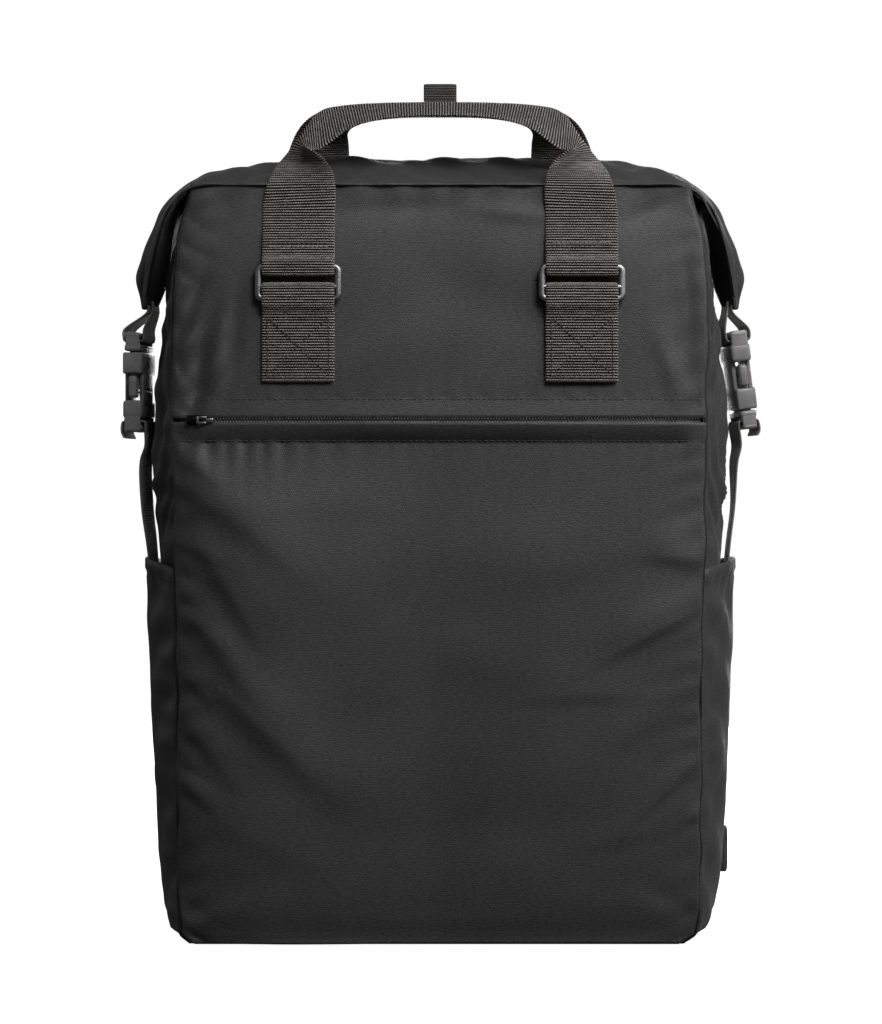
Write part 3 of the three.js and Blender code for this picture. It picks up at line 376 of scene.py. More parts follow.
# the small waves here and below are sums of sines of unlike lengths, so that none repeats in step
def frontCloth(x, z):
    half = bodyAt("front", z)
    across = np.clip(x / half, -1, 1)
    left = np.clip(-across, 0, 1)
    edge = half - np.abs(x)
    below = zipper["z"] - z
    fuller = fullness["most"] * (left ** 1.5 - left ** 4) * smooth(below, fullness["from"], fullness["to"])
    rolled = rollDepth(z) * np.exp(-(edge + seamRoll["lap"]) / seamRoll["width"]) * (across < 0)
    y = frontFace(x, z) - bodyAt("crown", z) * (left ** 2 - left ** 4) - fuller + rolled
    y = y + foldShare * foldDepth(clothFolds, x, z)
    y = y - foot["turn"] * np.exp(-z / foot["fade"])
    y = y - foot["roll"] * bell(z, foot["rollZ"], foot["rollReach"])

    # the zip's lip and ledge
    lowerLedge = zipper["ledge"] - 0.6 * np.sin(x / 31) - 0.4 * np.sin(x / 13 + 1)
    out = np.where(below < 0, zipper["lip"], lowerLedge)
    out = out * (ledge["atSeam"] + (1 - ledge["atSeam"]) * smooth(edge, 1, ledge["seamReach"]))
    out = out * (ledge["away"] + (1 - ledge["away"]) * bell(x, ledge["middle"], ledge["reach"]))
    y = y - out * (1 - np.clip(np.abs(below) / zipper["reach"], 0, 1) ** np.where(below < 0, 1, 1.8))

    # puckers along the zip's stitches and under the top seam
    underSeam = np.clip(below - zipper["stitch"], 0, None)
    overSeam = np.clip(-below - zipper["stitch"], 0, None)
    wobble = np.sin(x / 1.9 + 2.2 * np.sin(x / 17)) + 0.6 * np.sin(x / 3.3 + 1.3)
    ends = smooth(-x, 30, 110) + 0.25 * smooth(x, 90, 130)
    hanging = np.exp(-underSeam / 8) * (underSeam > 0) * (puckers["below"] + puckers["belowEnds"] * ends)
    y = y + wobble * (hanging + puckers["above"] * np.exp(-overSeam / 5) * (overSeam > 0))
    underTop = np.clip(panels["top"] - z, 0, None)
    topWave = np.sin(x / 3.7 + 2 * np.sin(x / 23)) * np.exp(-underTop / 8) * smooth(underTop, 0, 2)
    y = y + puckers["top"] * topWave

    # crumples by the left seam, and cloth drawn up along both side seams
    creases = np.abs(np.sin(z / 9 + x / 10 + 1.6 * np.sin(z / 15)))
    crumpled = 1.2 - 2 * creases + 0.6 * np.sin(z / 2.6 - x / 7 + 1.5 * np.sin(z / 31))
    fading = np.exp(-np.abs(edge) / crumples["fade"]) * smooth(edge, -2, 4) * (across < 0)
    y = y + crumples["height"] * crumpled * fading
    drawn = np.sin(z / 2.6 + 0.35 * edge * np.sign(x) / 2.6 + 1.7 * np.sin(z / 21))
    drawn = drawn * np.exp(-edge / puckers["fade"]) * smooth(edge, 0, 4)
    return y + np.where(across < 0, puckers["left"], puckers["right"]) * drawn


def unit(vectors):
    return vectors / np.maximum(np.linalg.norm(vectors, axis=-1, keepdims=True), 1e-12)


def gridOf(surface, across, along, crowd=1.0):
    u, v = np.meshgrid(np.linspace(0, 1, across + 1), np.linspace(0, 1, along + 1) ** crowd)
    return np.stack(np.broadcast_arrays(*surface(u, v)), axis=-1).astype(float)


def gridNormals(grid):
    return unit(np.cross(np.gradient(grid, axis=1), np.gradient(grid, axis=0)))


# lengths along a grid's rows and columns, in mm, so that the weave keeps its true size
def arcUv(grid):
    alongRow = np.linalg.norm(np.diff(grid, axis=1), axis=2)
    alongColumn = np.linalg.norm(np.diff(grid, axis=0), axis=2)
    u = np.concatenate([np.zeros((len(grid), 1)), np.cumsum(alongRow, axis=1)], axis=1)
    v = np.concatenate([np.zeros((1, grid.shape[1])), np.cumsum(alongColumn, axis=0)], axis=0)
    return np.stack([u - u[:, -1:] / 2, v], axis=2)


rimShare = 0.45  # how far a shell's rim stands out, as a share of its thickness
sharpFrom = 60  # degrees between faces from which an edge stays sharp


# a closed shell between two grids, with a rounded rim; keep says which squares of the grid are cloth
def shell(outer, inner, uv, keep=None):
    rows, columns = outer.shape[:2]
    count = rows * columns
    index = np.arange(count).reshape(rows, columns)
    faces = np.stack([index[:-1, :-1], index[:-1, 1:], index[1:, 1:], index[1:, :-1]], axis=2).reshape(-1, 4)
    if keep is not None:
        faces = faces[keep.reshape(-1)]
    flatOuter, flatInner, flatUv = outer.reshape(-1, 3), inner.reshape(-1, 3), uv.reshape(-1, 2)
    starts = faces.reshape(-1)
    ends = np.roll(faces, -1, axis=1).reshape(-1)
    rim = ~np.isin(starts * count + ends, ends * count + starts)
    a, b = starts[rim], ends[rim]
    depth = flatOuter - flatInner
    outward = np.zeros_like(flatOuter)
    sideways = unit(np.cross(unit(flatOuter[b] - flatOuter[a]), unit(depth[a] + depth[b])))
    np.add.at(outward, a, sideways)
    np.add.at(outward, b, sideways)
    rimVertices = np.unique(np.concatenate([a, b]))
    slot = np.zeros(count, int)
    slot[rimVertices] = np.arange(len(rimVertices)) + 2 * count
    thickness = np.linalg.norm(depth[rimVertices], axis=1, keepdims=True)
    middle = (flatOuter[rimVertices] + flatInner[rimVertices]) / 2
    middle = middle + unit(outward[rimVertices]) * thickness * rimShare
    points = np.concatenate([flatOuter, flatInner, middle])
    allUv = np.concatenate([flatUv, flatUv, flatUv[rimVertices]])
    quads = np.concatenate([
        faces, faces[:, ::-1] + count,
        np.stack([b, a, slot[a], slot[b]], axis=1),
        np.stack([slot[b], slot[a], a + count, b + count], axis=1)])
    used = np.unique(quads)
    remap = np.zeros(len(points), int)
    remap[used] = np.arange(len(used))
    return points[used], remap[quads].tolist(), allUv[used]


# squares between rings of points, with an end face on the first and last ring unless they close on themselves
def ringFaces(rings, sides, closed=False):
    i = np.arange(sides)
    onward = (i + 1) % sides
    faces = []
    for j in range(rings if closed else rings - 1):
        start, end = j * sides, (j + 1) % rings * sides
        faces.extend(np.stack([start + i, start + onward, end + onward, end + i], axis=1).tolist())
    if not closed:
        faces.append(list(range(sides - 1, -1, -1)))
        faces.append([(rings - 1) * sides + k for k in range(sides)])
    return faces


def joinMeshes(meshes):
    points, faces, uvs, start = [], [], [], 0
    for partPoints, partFaces, partUvs in meshes:
        points.append(partPoints)
        faces.extend([corner + start for corner in face] for face in partFaces)
        uvs.append(partUvs)
        start += len(partPoints)
    return np.concatenate(points), faces, np.concatenate(uvs)


def addPiece(name, mesh, material, replaced=()):
    points, faces, uvs = mesh
    data = bpy.data.meshes.new(name)
    data.from_pydata((points * mm).tolist(), [], faces)
    layer = data.uv_layers.new(name="weave")
    corners = np.zeros(len(data.loops), int)
    data.loops.foreach_get("vertex_index", corners)
    layer.data.foreach_set("uv", uvs[corners].astype(np.float32).ravel())
    data.shade_smooth()
    data.set_sharp_from_angle(angle=math.radians(sharpFrom))
    data.materials.append(material)
    piece = bpy.data.objects.new(name, data)
    bpy.context.scene.collection.objects.link(piece)
    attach(piece, "root")
    if replaced:
        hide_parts(*replaced)
    return piece


# a sheet of cloth under a grid; its flat size is its longest row and column
def clothSheet(name, grid, thickness, replaced, keep=None, material=oxfordCloth):
    mesh = shell(grid, grid - gridNormals(grid) * thickness, arcUv(grid), keep)
    piece = addPiece(name, mesh, material, replaced)


def runOf(points):
    steps = np.linalg.norm(np.diff(points, axis=0), axis=1)
    return np.concatenate([[0], np.cumsum(steps)])


def pointsAt(place, run, points):
    return np.stack([np.interp(place, run, points[:, k]) for k in range(3)], axis=1)


# short raised stitches along a line of points, with the way out of the cloth at each
stitch = {"length": 2.7, "pitch": 3.4, "radius": 0.28, "sides": 6}
stitchRings = [(-0.5, 0.45, -0.6), (-0.3, 1, 0.35), (0.3, 1, 0.35), (0.5, 0.45, -0.6)]  # place, size, lift


def stitchRow(points, outward, length=stitch["length"], pitch=stitch["pitch"], radius=stitch["radius"]):
    points = np.asarray(points, float)
    outward = np.broadcast_to(unit(np.asarray(outward, float)), points.shape)
    run = runOf(points)
    centres = np.arange(pitch / 2, run[-1], pitch)
    middle = pointsAt(centres, run, points)
    along = unit(pointsAt(centres + 0.3, run, points) - pointsAt(centres - 0.3, run, points))
    up = unit(pointsAt(centres, run, outward))
    template = []
    for place, size, lift in stitchRings:
        for k in range(stitch["sides"]):
            turn = 2 * math.pi * k / stitch["sides"]
            rise, side = math.sin(turn) * size + lift, math.cos(turn) * size
            template.append((place * length, rise * radius, side * radius))
    frames = np.stack([along, up, np.cross(along, up)], axis=1)
    cloud = (middle[:, None] + np.array(template) @ frames).reshape(-1, 3)
    one = ringFaces(len(stitchRings), stitch["sides"])
    starts = range(0, len(cloud), len(template))
    faces = [[corner + start for corner in face] for start in starts for face in one]
    return cloud, faces, np.zeros((len(cloud), 2))


# a round or oval section carried along a line; boxy below 1 squares the section
def tube(points, radius, sides=10, closed=False, flatten=1.0, flattenWay=(0.31, 0.42, 0.85), boxy=1.0):
    points = np.asarray(points, float)
    around = np.roll(points, -1, axis=0) - np.roll(points, 1, axis=0)
    along = unit(around if closed else np.gradient(points, axis=0))
    first = unit(np.cross(along, flattenWay))
    second = np.cross(first, along)
    turn = 2 * np.pi * np.arange(sides) / sides
    cosine = np.sign(np.cos(turn)) * np.abs(np.cos(turn)) ** boxy
    sine = flatten * np.sign(np.sin(turn)) * np.abs(np.sin(turn)) ** boxy
    ring = first[:, None] * cosine[None, :, None] + second[:, None] * sine[None, :, None]
    cloud = points[:, None] + ring * radius
    uv = np.stack(np.broadcast_arrays(turn[None] * radius, runOf(points)[:, None]), axis=2)
    return cloud.reshape(-1, 3), ringFaces(len(points), sides, closed), uv.reshape(-1, 2)


# blocks with rounded edges, as (size, middle, edge radius)
def roundedBlocks(rows, segments=3):
    bm = bmesh.new()
    for size, middle, radius in rows:
        part = bmesh.new()
        bmesh.ops.create_cube(part, size=1)
        bmesh.ops.scale(part, vec=size, verts=part.verts)
        bmesh.ops.bevel(part, geom=part.edges[:], offset=min(radius, min(size) * 0.49), segments=segments,
                        profile=0.5, affect="EDGES")
        bmesh.ops.translate(part, vec=middle, verts=part.verts)
        scratch = bpy.data.meshes.new("scratch")
        part.to_mesh(scratch)
        part.free()
        bm.from_mesh(scratch)
        bpy.data.meshes.remove(scratch)
    bm.verts.index_update()
    points = np.array([v.co for v in bm.verts])
    faces = [[v.index for v in f.verts] for f in bm.faces]
    bm.free()
    return points, faces, points[:, :2]


# smooth line through points that doesn't overshoot where they crowd
def smoothLine(points, steps):
    points = np.asarray(points, float)
    padded = np.concatenate([[2 * points[0] - points[1]], points, [2 * points[-1] - points[-2]]])
    t = np.linspace(0, 1, steps, endpoint=False)[:, None]
    pieces = []
    for p0, p1, p2, p3 in zip(padded, padded[1:], padded[2:], padded[3:]):
        d0, d1, d2 = (max(np.linalg.norm(q - p) ** 0.5, 1e-6) for p, q in ((p0, p1), (p1, p2), (p2, p3)))
        rise = ((p1 - p0) / d0 - (p2 - p0) / (d0 + d1) + (p2 - p1) / d1) * d1
        following = ((p2 - p1) / d1 - (p3 - p1) / (d1 + d2) + (p3 - p2) / d2) * d1
        pieces.append(hermite(p1, rise, p2, following, t))
    return np.concatenate(pieces + [points[-1:]])


# webbing between two edge lines; the lines are on its outer face, and each rib is real relief
ribs = {"pitch": 1.5, "samples": 6, "height": 0.3, "selvedge": 0.65,
        "across": [0, 0.025, 0.09, 0.2, 0.35, 0.5, 0.65, 0.8, 0.91, 0.975, 1]}


def ribbon(edgeA, edgeB, thickness=web, height=ribs["height"], pitch=ribs["pitch"], samples=ribs["samples"]):
    fineA, fineB = smoothLine(edgeA, 24), smoothLine(edgeB, 24)
    run = runOf((fineA + fineB) / 2)
    stations = np.linspace(0, run[-1], max(int(run[-1] / pitch * samples), 8))
    a, b = pointsAt(stations, run, fineA), pointsAt(stations, run, fineB)
    t = np.array(ribs["across"])
    face = a[:, None] * (1 - t[:, None]) + b[:, None] * t[:, None]
    normal = gridNormals(face)
    swell = ribs["selvedge"] + (1 - ribs["selvedge"]) * (1 - np.abs(2 * t - 1) ** 10)
    half = (thickness / 2 + height * np.cos(2 * np.pi * stations / pitch)[:, None]) * swell
    middle = face - normal * thickness / 2
    width = np.linalg.norm(b - a, axis=1).mean()
    uv = np.stack(np.broadcast_arrays(t[None] * width, stations[:, None]), axis=2)
    return shell(middle + normal * half[..., None], middle - normal * half[..., None], uv)


print("tools ready")


# front: a panel below the zip and one above it
def frontPanel(low, high):
    def surface(u, v):
        z = low + (high - low) * v
        half = np.where(u < 0.5, filledAt("front", z, -1) + rollLap(z), filledAt("front", z, 1))
        x = (2 * u - 1) * (half - panels["seam"] - seamWaver(z))
        return x, frontCloth(x, z), z
    return surface


panelRows = [  # name, lower and upper edge, rows of the grid and how they crowd towards the ground
    ("lower", panels["low"], zipper["z"] - zipper["lips"], 250, 1.1),
    ("upper", zipper["z"] + zipper["lips"], panels["top"], 110, 1.0),
]
for label, low, high, along, crowd in panelRows:
    panelGrid = gridOf(frontPanel(low, high), panels["across"], along, crowd)
    clothSheet(f"front_{label}_cloth", panelGrid, cloth, [f"front_panel_{label}"])

# piping round the front seams and across the foot, in near-black cloth: painted shade of the seams
piping = {"radius": 1.4, "top": 409.2, "inset": 0.1, "behind": 1.9, "foot": 1.5, "footHalf": 125,
          "footBehind": 2.6}
pipeZ = np.concatenate([[piping["foot"]], np.linspace(2.5, 20, 14), np.linspace(26, piping["top"], 70)])
pipeIn = piping["inset"] + seamWaver(pipeZ) * smooth(pipeZ, 6, 30)
pipeBehind = {-1: rollDepth(pipeZ) + seamRoll["behind"], 1: piping["behind"]}
pipes = {}
for side in (-1, 1):
    pipeX = side * (filledAt("front", pipeZ, side) - pipeIn)
    pipes[side] = np.stack([pipeX, bodyAt("frontY", pipeZ) + pipeBehind[side], pipeZ], axis=1)
footX = np.linspace(-piping["footHalf"], piping["footHalf"], 60)
footZ = np.full_like(footX, piping["foot"])
footLine = np.stack([footX, frontFace(footX, footZ) + piping["footBehind"], footZ], axis=1)
pipe = tube(np.concatenate([pipes[-1][::-1], footLine, pipes[1]]), piping["radius"])
addPiece("front_piping", pipe, pipingShadeCloth, ["front_piping_left", "front_piping_right"])

# sides: gussets, with open pockets over their lower half
sides = {"seam": 1.0, "power": 2.2, "across": 56, "low": 1.4, "drawn": 0.8, "drawnFade": 0.16,
         "crumpleEnds": (0.2, 0.42), "streakEnds": (0.25, 0.45),
         "slackFrom": (212, 235), "slackTo": (350, 390)}
gusset = {"widest": "side", "top": 398, "stand": -0.6, "sag": 0, "streak": 3.2, "along": 170, "crowd": 1.2}
gusset["folds"] = [  # (depth in mm from the middle, z, lean, half length, half width, inwards)
    (-38, 300, 80, 60, 9, 2.0), (-52, 240, 95, 40, 6, 1.2), (30, 330, 70, 50, 12, 1.6),
    (44, 260, 100, 60, 10, 1.4), (-20, 372, 20, 40, 8, 1.2), (0, 250, 90, 50, 14, 1.2),
    (-34, 332, 84, 22, 5, 2.6), (-40, 262, 100, 18, 6, 2.8), (-26, 236, 60, 16, 6, 2.4),
    (-46, 300, 88, 36, 4.5, 1.6), (-30, 290, 75, 20, 5, -1.4), (-44, 345, 95, 26, 5, 1.4),
    (34, 322, 97, 30, 5, 2.4), (42, 280, 80, 26, 5, 2.2), (30, 250, 110, 20, 5, -1.4),
    (38, 232, 70, 20, 5, 2.2), (48, 350, 85, 24, 4.5, 1.6), (24, 300, 90, 26, 5, -1.2),
    (-5, 322, 15, 40, 6, 2.2), (0, 276, -12, 36, 5, -1.4), (5, 238, 10, 40, 5, 2.4),
    (-8, 256, -20, 30, 5, 1.6), (0, 300, 5, 40, 7, -1.0), (6, 346, -10, 40, 6, 1.6),
]
pocket = {"widest": "pocket", "top": 206, "stand": 1.4, "sag": 6, "streak": 0, "along": 96, "crowd": 1.1}
pocket["folds"] = [
    (-50, 150, 70, 40, 7, 1.6), (-44, 80, 60, 30, 7, 1.3), (20, 60, 110, 40, 12, 1.5),
    (46, 120, 95, 50, 9, 1.4), (-58, 40, 80, 26, 5, 1.0), (0, 170, 30, 40, 10, -0.8),
    (-30, 185, 95, 24, 6, 1.0), (34, 190, 85, 24, 6, 1.0),
]
hem = {"height": 7, "stand": 0.9, "ease": 0.8, "tight": 0.5, "tightReach": 1.2,
       "gather": 0.35, "gatherAt": 9, "gatherReach": 7}


# s runs from the front seam to the back one; streak is for the slack cloth between the pocket and the ear
def sideGrid(side, wall):
    def surface(u, v):
        s = u if side > 0 else 1 - u
        bulge = 1 - np.abs(2 * s - 1) ** sides["power"]
        z = sides["low"] + (wall["top"] - sides["low"]) * v + wall["sag"] * (bulge - 0.6) * v ** 6
        edge = filledAt("front", z, side) * (1 - s) + filledAt("back", z, side) * s + wall["stand"]
        tucked = rollDepth(z) + seamRoll["wall"] if side < 0 else 0
        foremost = bodyAt("frontY", z) + sides["seam"] + tucked
        hindmost = bodyAt("backY", z) - sides["seam"]
        y = foremost * (1 - s) + hindmost * s
        x = edge + (filledAt(wall["widest"], z, side) - edge) * bulge
        x = x - foldDepth(wall["folds"], y * side, z) * np.sqrt(bulge)
        fromSeam = np.minimum(s, 1 - s)
        drawn = sides["drawn"] * np.sin(z / 2.9 + 1.4 * np.sin(z / 19 + side))
        drawn = drawn * np.exp(-fromSeam / sides["drawnFade"])
        crumpled = np.sin(z / 6.5 + 14 * fromSeam + 1.3 * np.sin(z / 27))
        crumpled = crumpled * (1 - smooth(fromSeam, *sides["crumpleEnds"]))
        slack = wall["streak"] * smooth(z, *sides["slackFrom"]) * (1 - smooth(z, *sides["slackTo"]))
        streaks = np.abs(np.sin(z / 13 + 22 * fromSeam + 1.5 * np.sin(z / 19))) - 0.6
        crumpled = crumpled + slack * streaks * (1 - smooth(fromSeam, *sides["streakEnds"]))
        return side * (x - (drawn + crumpled) * np.minimum(bulge * 4, 1)), y, z
    return gridOf(surface, sides["across"], wall["along"], wall["crowd"])


# the pocket's edge is turned in once: it stands out down to its stitches, which gather the cloth under them
def hemmed(grid):
    fall = grid[-1:, :, 2] - grid[..., 2]
    turned = hem["stand"] * (1 - smooth(fall, hem["height"] - hem["ease"], hem["height"] + hem["ease"]))
    tight = hem["tight"] * bell(fall, hem["height"], hem["tightReach"])
    gathered = hem["gather"] * np.sin(grid[..., 1] / 1.7) * bell(fall, hem["gatherAt"], hem["gatherReach"])
    return grid + gridNormals(grid) * (turned - tight + gathered)[..., None]


pocketGrids = []
for name, side in bothSides:
    gussetNode = f"gusset_{name}"
    pocketGrid = hemmed(sideGrid(side, pocket))
    pocketGrids.append(pocketGrid)
    gussetGrid = sideGrid(side, gusset)
    clothSheet(f"gusset_cloth_{name}", gussetGrid, cloth, [gussetNode])
    clothSheet(f"pocket_cloth_{name}", pocketGrid, cloth, [f"side_pocket_{name}"])
print("walls made")

# top: the collar runs over the mouth and down both ears
collarRows = {
    "crestX": [0, 40, 78, 112, 134, 150, 160, 166.5, 169.5, 166.5],
    "crestZ": [431, 431, 430.5, 426.5, 420, 409, 393, 376, 362, 347.5],
    "edgeX": [0, 40, 78, 110, 129, 141.5, 150.5, 156.5, 160.5, 163.5],
    "edgeZ": [412, 412, 412, 412, 411.8, 406.8, 393, 378, 363, 348],
    "halfDepth": [59, 59, 59, 59, 58, 54, 46, 34.5, 24, 15],
}
collar = {"across": 250, "along": 60, "sharp": 1.6, "mouthHalf": 116, "mouthWidth": 3.2, "mouthEnd": 12,
          "earFrom": 128, "earFull": 146, "roll": 1.9, "rollMiddle": 2.0, "pucker": 0.6, "earCrease": 2.2}
collarDents = [  # (x, depth from the middle, lean, half length, half width, depth downwards)
    (-51, -46, 60, 14, 9, 2.6), (-118, -50, 20, 22, 7, 2.2), (-90, -40, 120, 18, 8, -1.0),
    (10, -48, 90, 14, 12, 1.0), (44, -46, 100, 16, 9, 1.6), (118, -48, 150, 20, 8, 1.8),
    (-20, -40, 80, 16, 8, -0.8), (96, -44, 70, 16, 9, 1.2), (-60, 44, 70, 20, 10, 2.0),
    (50, 46, 110, 20, 10, 1.8), (0, 40, 90, 20, 14, 1.0), (-118, 48, 150, 22, 8, 2.0),
    (118, 48, 30, 22, 8, 2.0),
]


def collarSurface(u, v):
    along = 2 * u - 1
    place = np.abs(along) * (len(collarRows["crestX"]) - 1)
    at = {key: cubicAt(values, place) for key, values in collarRows.items()}
    flat = 2 * v - 1
    closing = smooth(at["crestX"], collar["mouthHalf"] - collar["mouthEnd"], collar["mouthHalf"])
    parted = collar["mouthWidth"] / 2 / at["halfDepth"] * (1 - closing)
    across = np.sign(flat) * (parted + (1 - parted) * np.abs(flat) ** 0.9)
    rise = 1 - np.abs(across) ** collar["sharp"]
    x = np.sign(along) * (at["edgeX"] + (at["crestX"] - at["edgeX"]) * rise)
    z = at["edgeZ"] + (at["crestZ"] - at["edgeZ"]) * rise
    y = at["halfDepth"] * across
    ear = smooth(np.abs(x), collar["earFrom"], collar["earFull"])
    top = 1 - ear
    z = z - foldDepth(collarDents, x, y) * top * np.minimum(rise * 5, 1)
    fromMiddle = np.clip(x / bodyAt("front", panels["top"]), -1, 1)
    rolled = collar["roll"] + collar["rollMiddle"] * (1 - fromMiddle ** 2)
    y = y - np.where(across < 0, rolled, 0) * top * (1 - np.minimum(rise, 1)) ** 3
    lumps = (0.8 * np.sin(x / 13 + y / 21) + 0.7 * np.sin(x / 7.3 - y / 9 + 1)
             + 0.5 * np.sin(x / 4.1 + y / 6 + 2))
    z = z + top * np.minimum(rise * 4, 1) * lumps
    y = y + top * (1 - rise) * collar["pucker"] * np.sin(x / 4.6 + 2 * np.sin(x / 27))
    dented = collar["earCrease"] * bell(np.abs(across), 0.5, 0.12)
    ruffled = 0.35 * np.sin(z / 5 + 3 * across) + 0.25 * np.sin(z / 3.1 - 5 * across)
    return x - np.sign(along) * ear * (dented + ruffled), y, z


collarGrid = gridOf(collarSurface, collar["across"], collar["along"] + 1)
mid = collar["along"] // 2
keep = np.ones((collar["along"] + 1, collar["across"]), bool)
keep[mid] = np.abs((collarGrid[mid, :-1, 0] + collarGrid[mid, 1:, 0]) / 2) >= collar["mouthHalf"]
clothSheet("collar_cloth", collarGrid, cloth, ["collar"], keep)

# linings in the hollows of the ears, from the gusset's top to the ear's tip, in near-black cloth: painted
# shade of the hollows
earRows = {
    "midX": [141, 145.6, 148.6, 150.2, 152.6, 157.2], "midZ": [399.5, 395.5, 385, 372, 360, 348.4],
    "edgeX": [144, 148.6, 153.4, 157.2, 160.2, 162.6], "edgeZ": [402, 396, 384, 372, 360, 348.4],
    "halfDepth": [50.5, 47.5, 40.5, 32, 23.5, 14.6],
}


def earLining(side):
    def surface(u, v):
        across = side * (2 * u - 1)
        at = {key: cubicAt(values, v * (len(earRows["midX"]) - 1)) for key, values in earRows.items()}
        rise = 1 - across ** 2
        x = at["edgeX"] + (at["midX"] - at["edgeX"]) * rise
        z = at["edgeZ"] + (at["midZ"] - at["edgeZ"]) * rise
        x = x + 0.8 * np.sin(across * 7 + 1) * rise * smooth(v, 0.1, 0.4)
        return side * x, at["halfDepth"] * across, z
    return gridOf(surface, 40, 50)


for name, side in bothSides:
    clothSheet(f"ear_lining_{name}", earLining(side), cloth, [f"gusset_fold_{name}"],
               material=earHollowShadeCloth)

# zip: tape behind the opening, two rows of coil teeth, a slider at the left end with its pull
zipHalf = bodyAt("front", zipper["z"]) - zipper["endIn"]


def zipTape(u, v):
    x = (2 * u - 1) * zipHalf
    z = zipper["z"] + (2 * v - 1) * zipper["tapeHalf"]
    return x, frontCloth(x, z) + cloth + zipper["tapeBehind"], z


# the tape in near-black cloth: painted shade in the zip's opening
clothSheet("zip_tape_cloth", gridOf(zipTape, 120, 5), zipper["tapeThick"], ["zip_tape"],
           material=zipShadeTapeCloth)
tooth = {"size": (0.7, 1.5, 1.0), "edge": 0.3, "pitch": 0.8, "from": 10,
         "behind": 1.2, "lift": 0.75, "slant": 0.8}
toothX = np.arange(-zipHalf + tooth["from"], zipHalf, tooth["pitch"])
toothY = sum(frontCloth(toothX, np.full_like(toothX, zipper["z"] + step)) for step in (-2, 2)) / 2
teeth = []
for k, (x, y) in enumerate(zip(toothX, toothY)):
    lift = tooth["lift"] if k % 2 else -tooth["lift"]
    middle = (x, y + tooth["behind"] + tooth["slant"] * lift, zipper["z"] + lift)
    teeth.append((tooth["size"], middle, tooth["edge"]))
# the teeth in pale coil: a painted highlight on each turn
addPiece("zip_teeth", roundedBlocks(teeth, 1), nylonCoilPaintedGlints, ["zip_chain"])
runner = np.array([-132, toothY[0] - 1.2, zipper["z"]])  # the blocks below are placed from here
runnerBlocks = [((9, 3.2, 5.4), (0, 0.6, 0), 1.2), ((6, 2.4, 3), (0, -1.6, 0), 1.1)]
pullBlocks = [  # two bars, the ring's near end and the grip
    ((5, 1.4, 1.3), (4, -2.9, 1.4), 0.5), ((5, 1.4, 1.3), (4, -2.9, -1.6), 0.5),
    ((1.6, 1.5, 4.2), (1.6, -2.9, -0.1), 0.6), ((4.6, 1.3, 2.6), (8, -3.1, -0.2), 0.6),
]
# the slider's body in near-black steel, partly painted shade of the recess under the lip; the pull in light
# grey zinc, a painted glint
for label, blocks, metal, node in (("zip_slider_body", runnerBlocks, blackSteelAndShade, "zip_slider"),
                                   ("zip_pull_tab", pullBlocks, zincPaintedReflection, "zip_pull")):
    rows = [(size, runner + middle, radius) for size, middle, radius in blocks]
    addPiece(label, roundedBlocks(rows), metal, [node])
print("top and zip made")

# handles: each leg comes up its panel and turns over into the grip, its inner edge crumpling at the turn
handle = {"width": 38, "legX": 76.4, "patchLow": 305, "patchHigh": 343, "sliderLow": 347, "sliderHigh": 367.7,
          "sliderThick": 4, "upperSlot": 4.5, "lowerSlot": 8.2, "tackZ": 378, "barGap": 0.55,
          "grips": ((-57, 450), (-19.5, 460.8))}
turning = [  # inner edge x, y, z and outer edge x, y, z, from the panel's top to the grip
    (56.9, -65.6, 403.8, 94.8, -64, 402.3), (57.2, -66.2, 411.3, 93, -64.2, 411),
    (58.8, -66.2, 417.7, 90.6, -55.5, 419), (62.6, -66, 422.9, 87.5, -42, 425.6),
    (67.7, -65.4, 427, 84, -33.5, 431.2), (71.6, -64, 429.6, 80.3, -28.5, 436.7),
    (72.5, -61.5, 430.9, 76.6, -26, 442.3), (69.8, -59, 430.9, 72.8, -24.6, 448.3),
    (65.6, -57, 431.6, 68.4, -24, 453.6), (59.1, -56.4, 436, 63.5, -23, 456.7),
    (51, -56.5, 442, 55.2, -21.6, 458.5), (40.1, -57, 446.3, 43.1, -20.4, 459.8),
    (23.8, -57, 449.1, 24.9, -19.7, 460.5),
]
backHandle = {"legX": 72, "legRows": (386, 393, 400), "grips": ((57, 461.7), (19.5, 465.4))}
backTurning = [  # the back handle's legs stand straighter and closer together
    (53, 66.4, 404, 91, 64.6, 402.5), (53, 66.6, 424, 90.5, 63, 422), (53, 66, 438, 88, 57, 436),
    (53.5, 64.5, 447, 84.5, 48, 446), (54, 62, 452, 79.5, 38, 453.5), (52, 59.5, 455, 73, 30, 458.5),
    (47, 58, 457.5, 64.5, 25, 461.8), (38, 57.3, 459.8, 52, 21.5, 463.8), (24, 57, 461.3, 30, 20, 465),
]
# how far the outer face of each layer stands off the panel
oneLayer = lay + web
twoLayers = oneLayer + gap + web
overBar = oneLayer + handle["sliderThick"] + 2 * handle["barGap"] + web
barMiddle = oneLayer + handle["barGap"] + handle["sliderThick"] / 2


bend = {"size": 1.4, "start": 0.5, "ease": 0.1, "lead": 4, "slack": 0.2}


# rows of (height, stand) that take webbing round a slider's bar, from under it to over it, towards one way
def roundBar(edge, way, lead):
    turned, before = edge + way * bend["size"], edge - way * bend["start"]
    return [(edge - way * bend["lead"], lay), (before, lay + bend["ease"]), (turned, lay + bend["size"]),
            (edge + way * (web + gap + bend["slack"]), barMiddle), (turned, overBar - bend["size"]),
            (before, overBar - bend["ease"]), (edge - way * lead, overBar)]


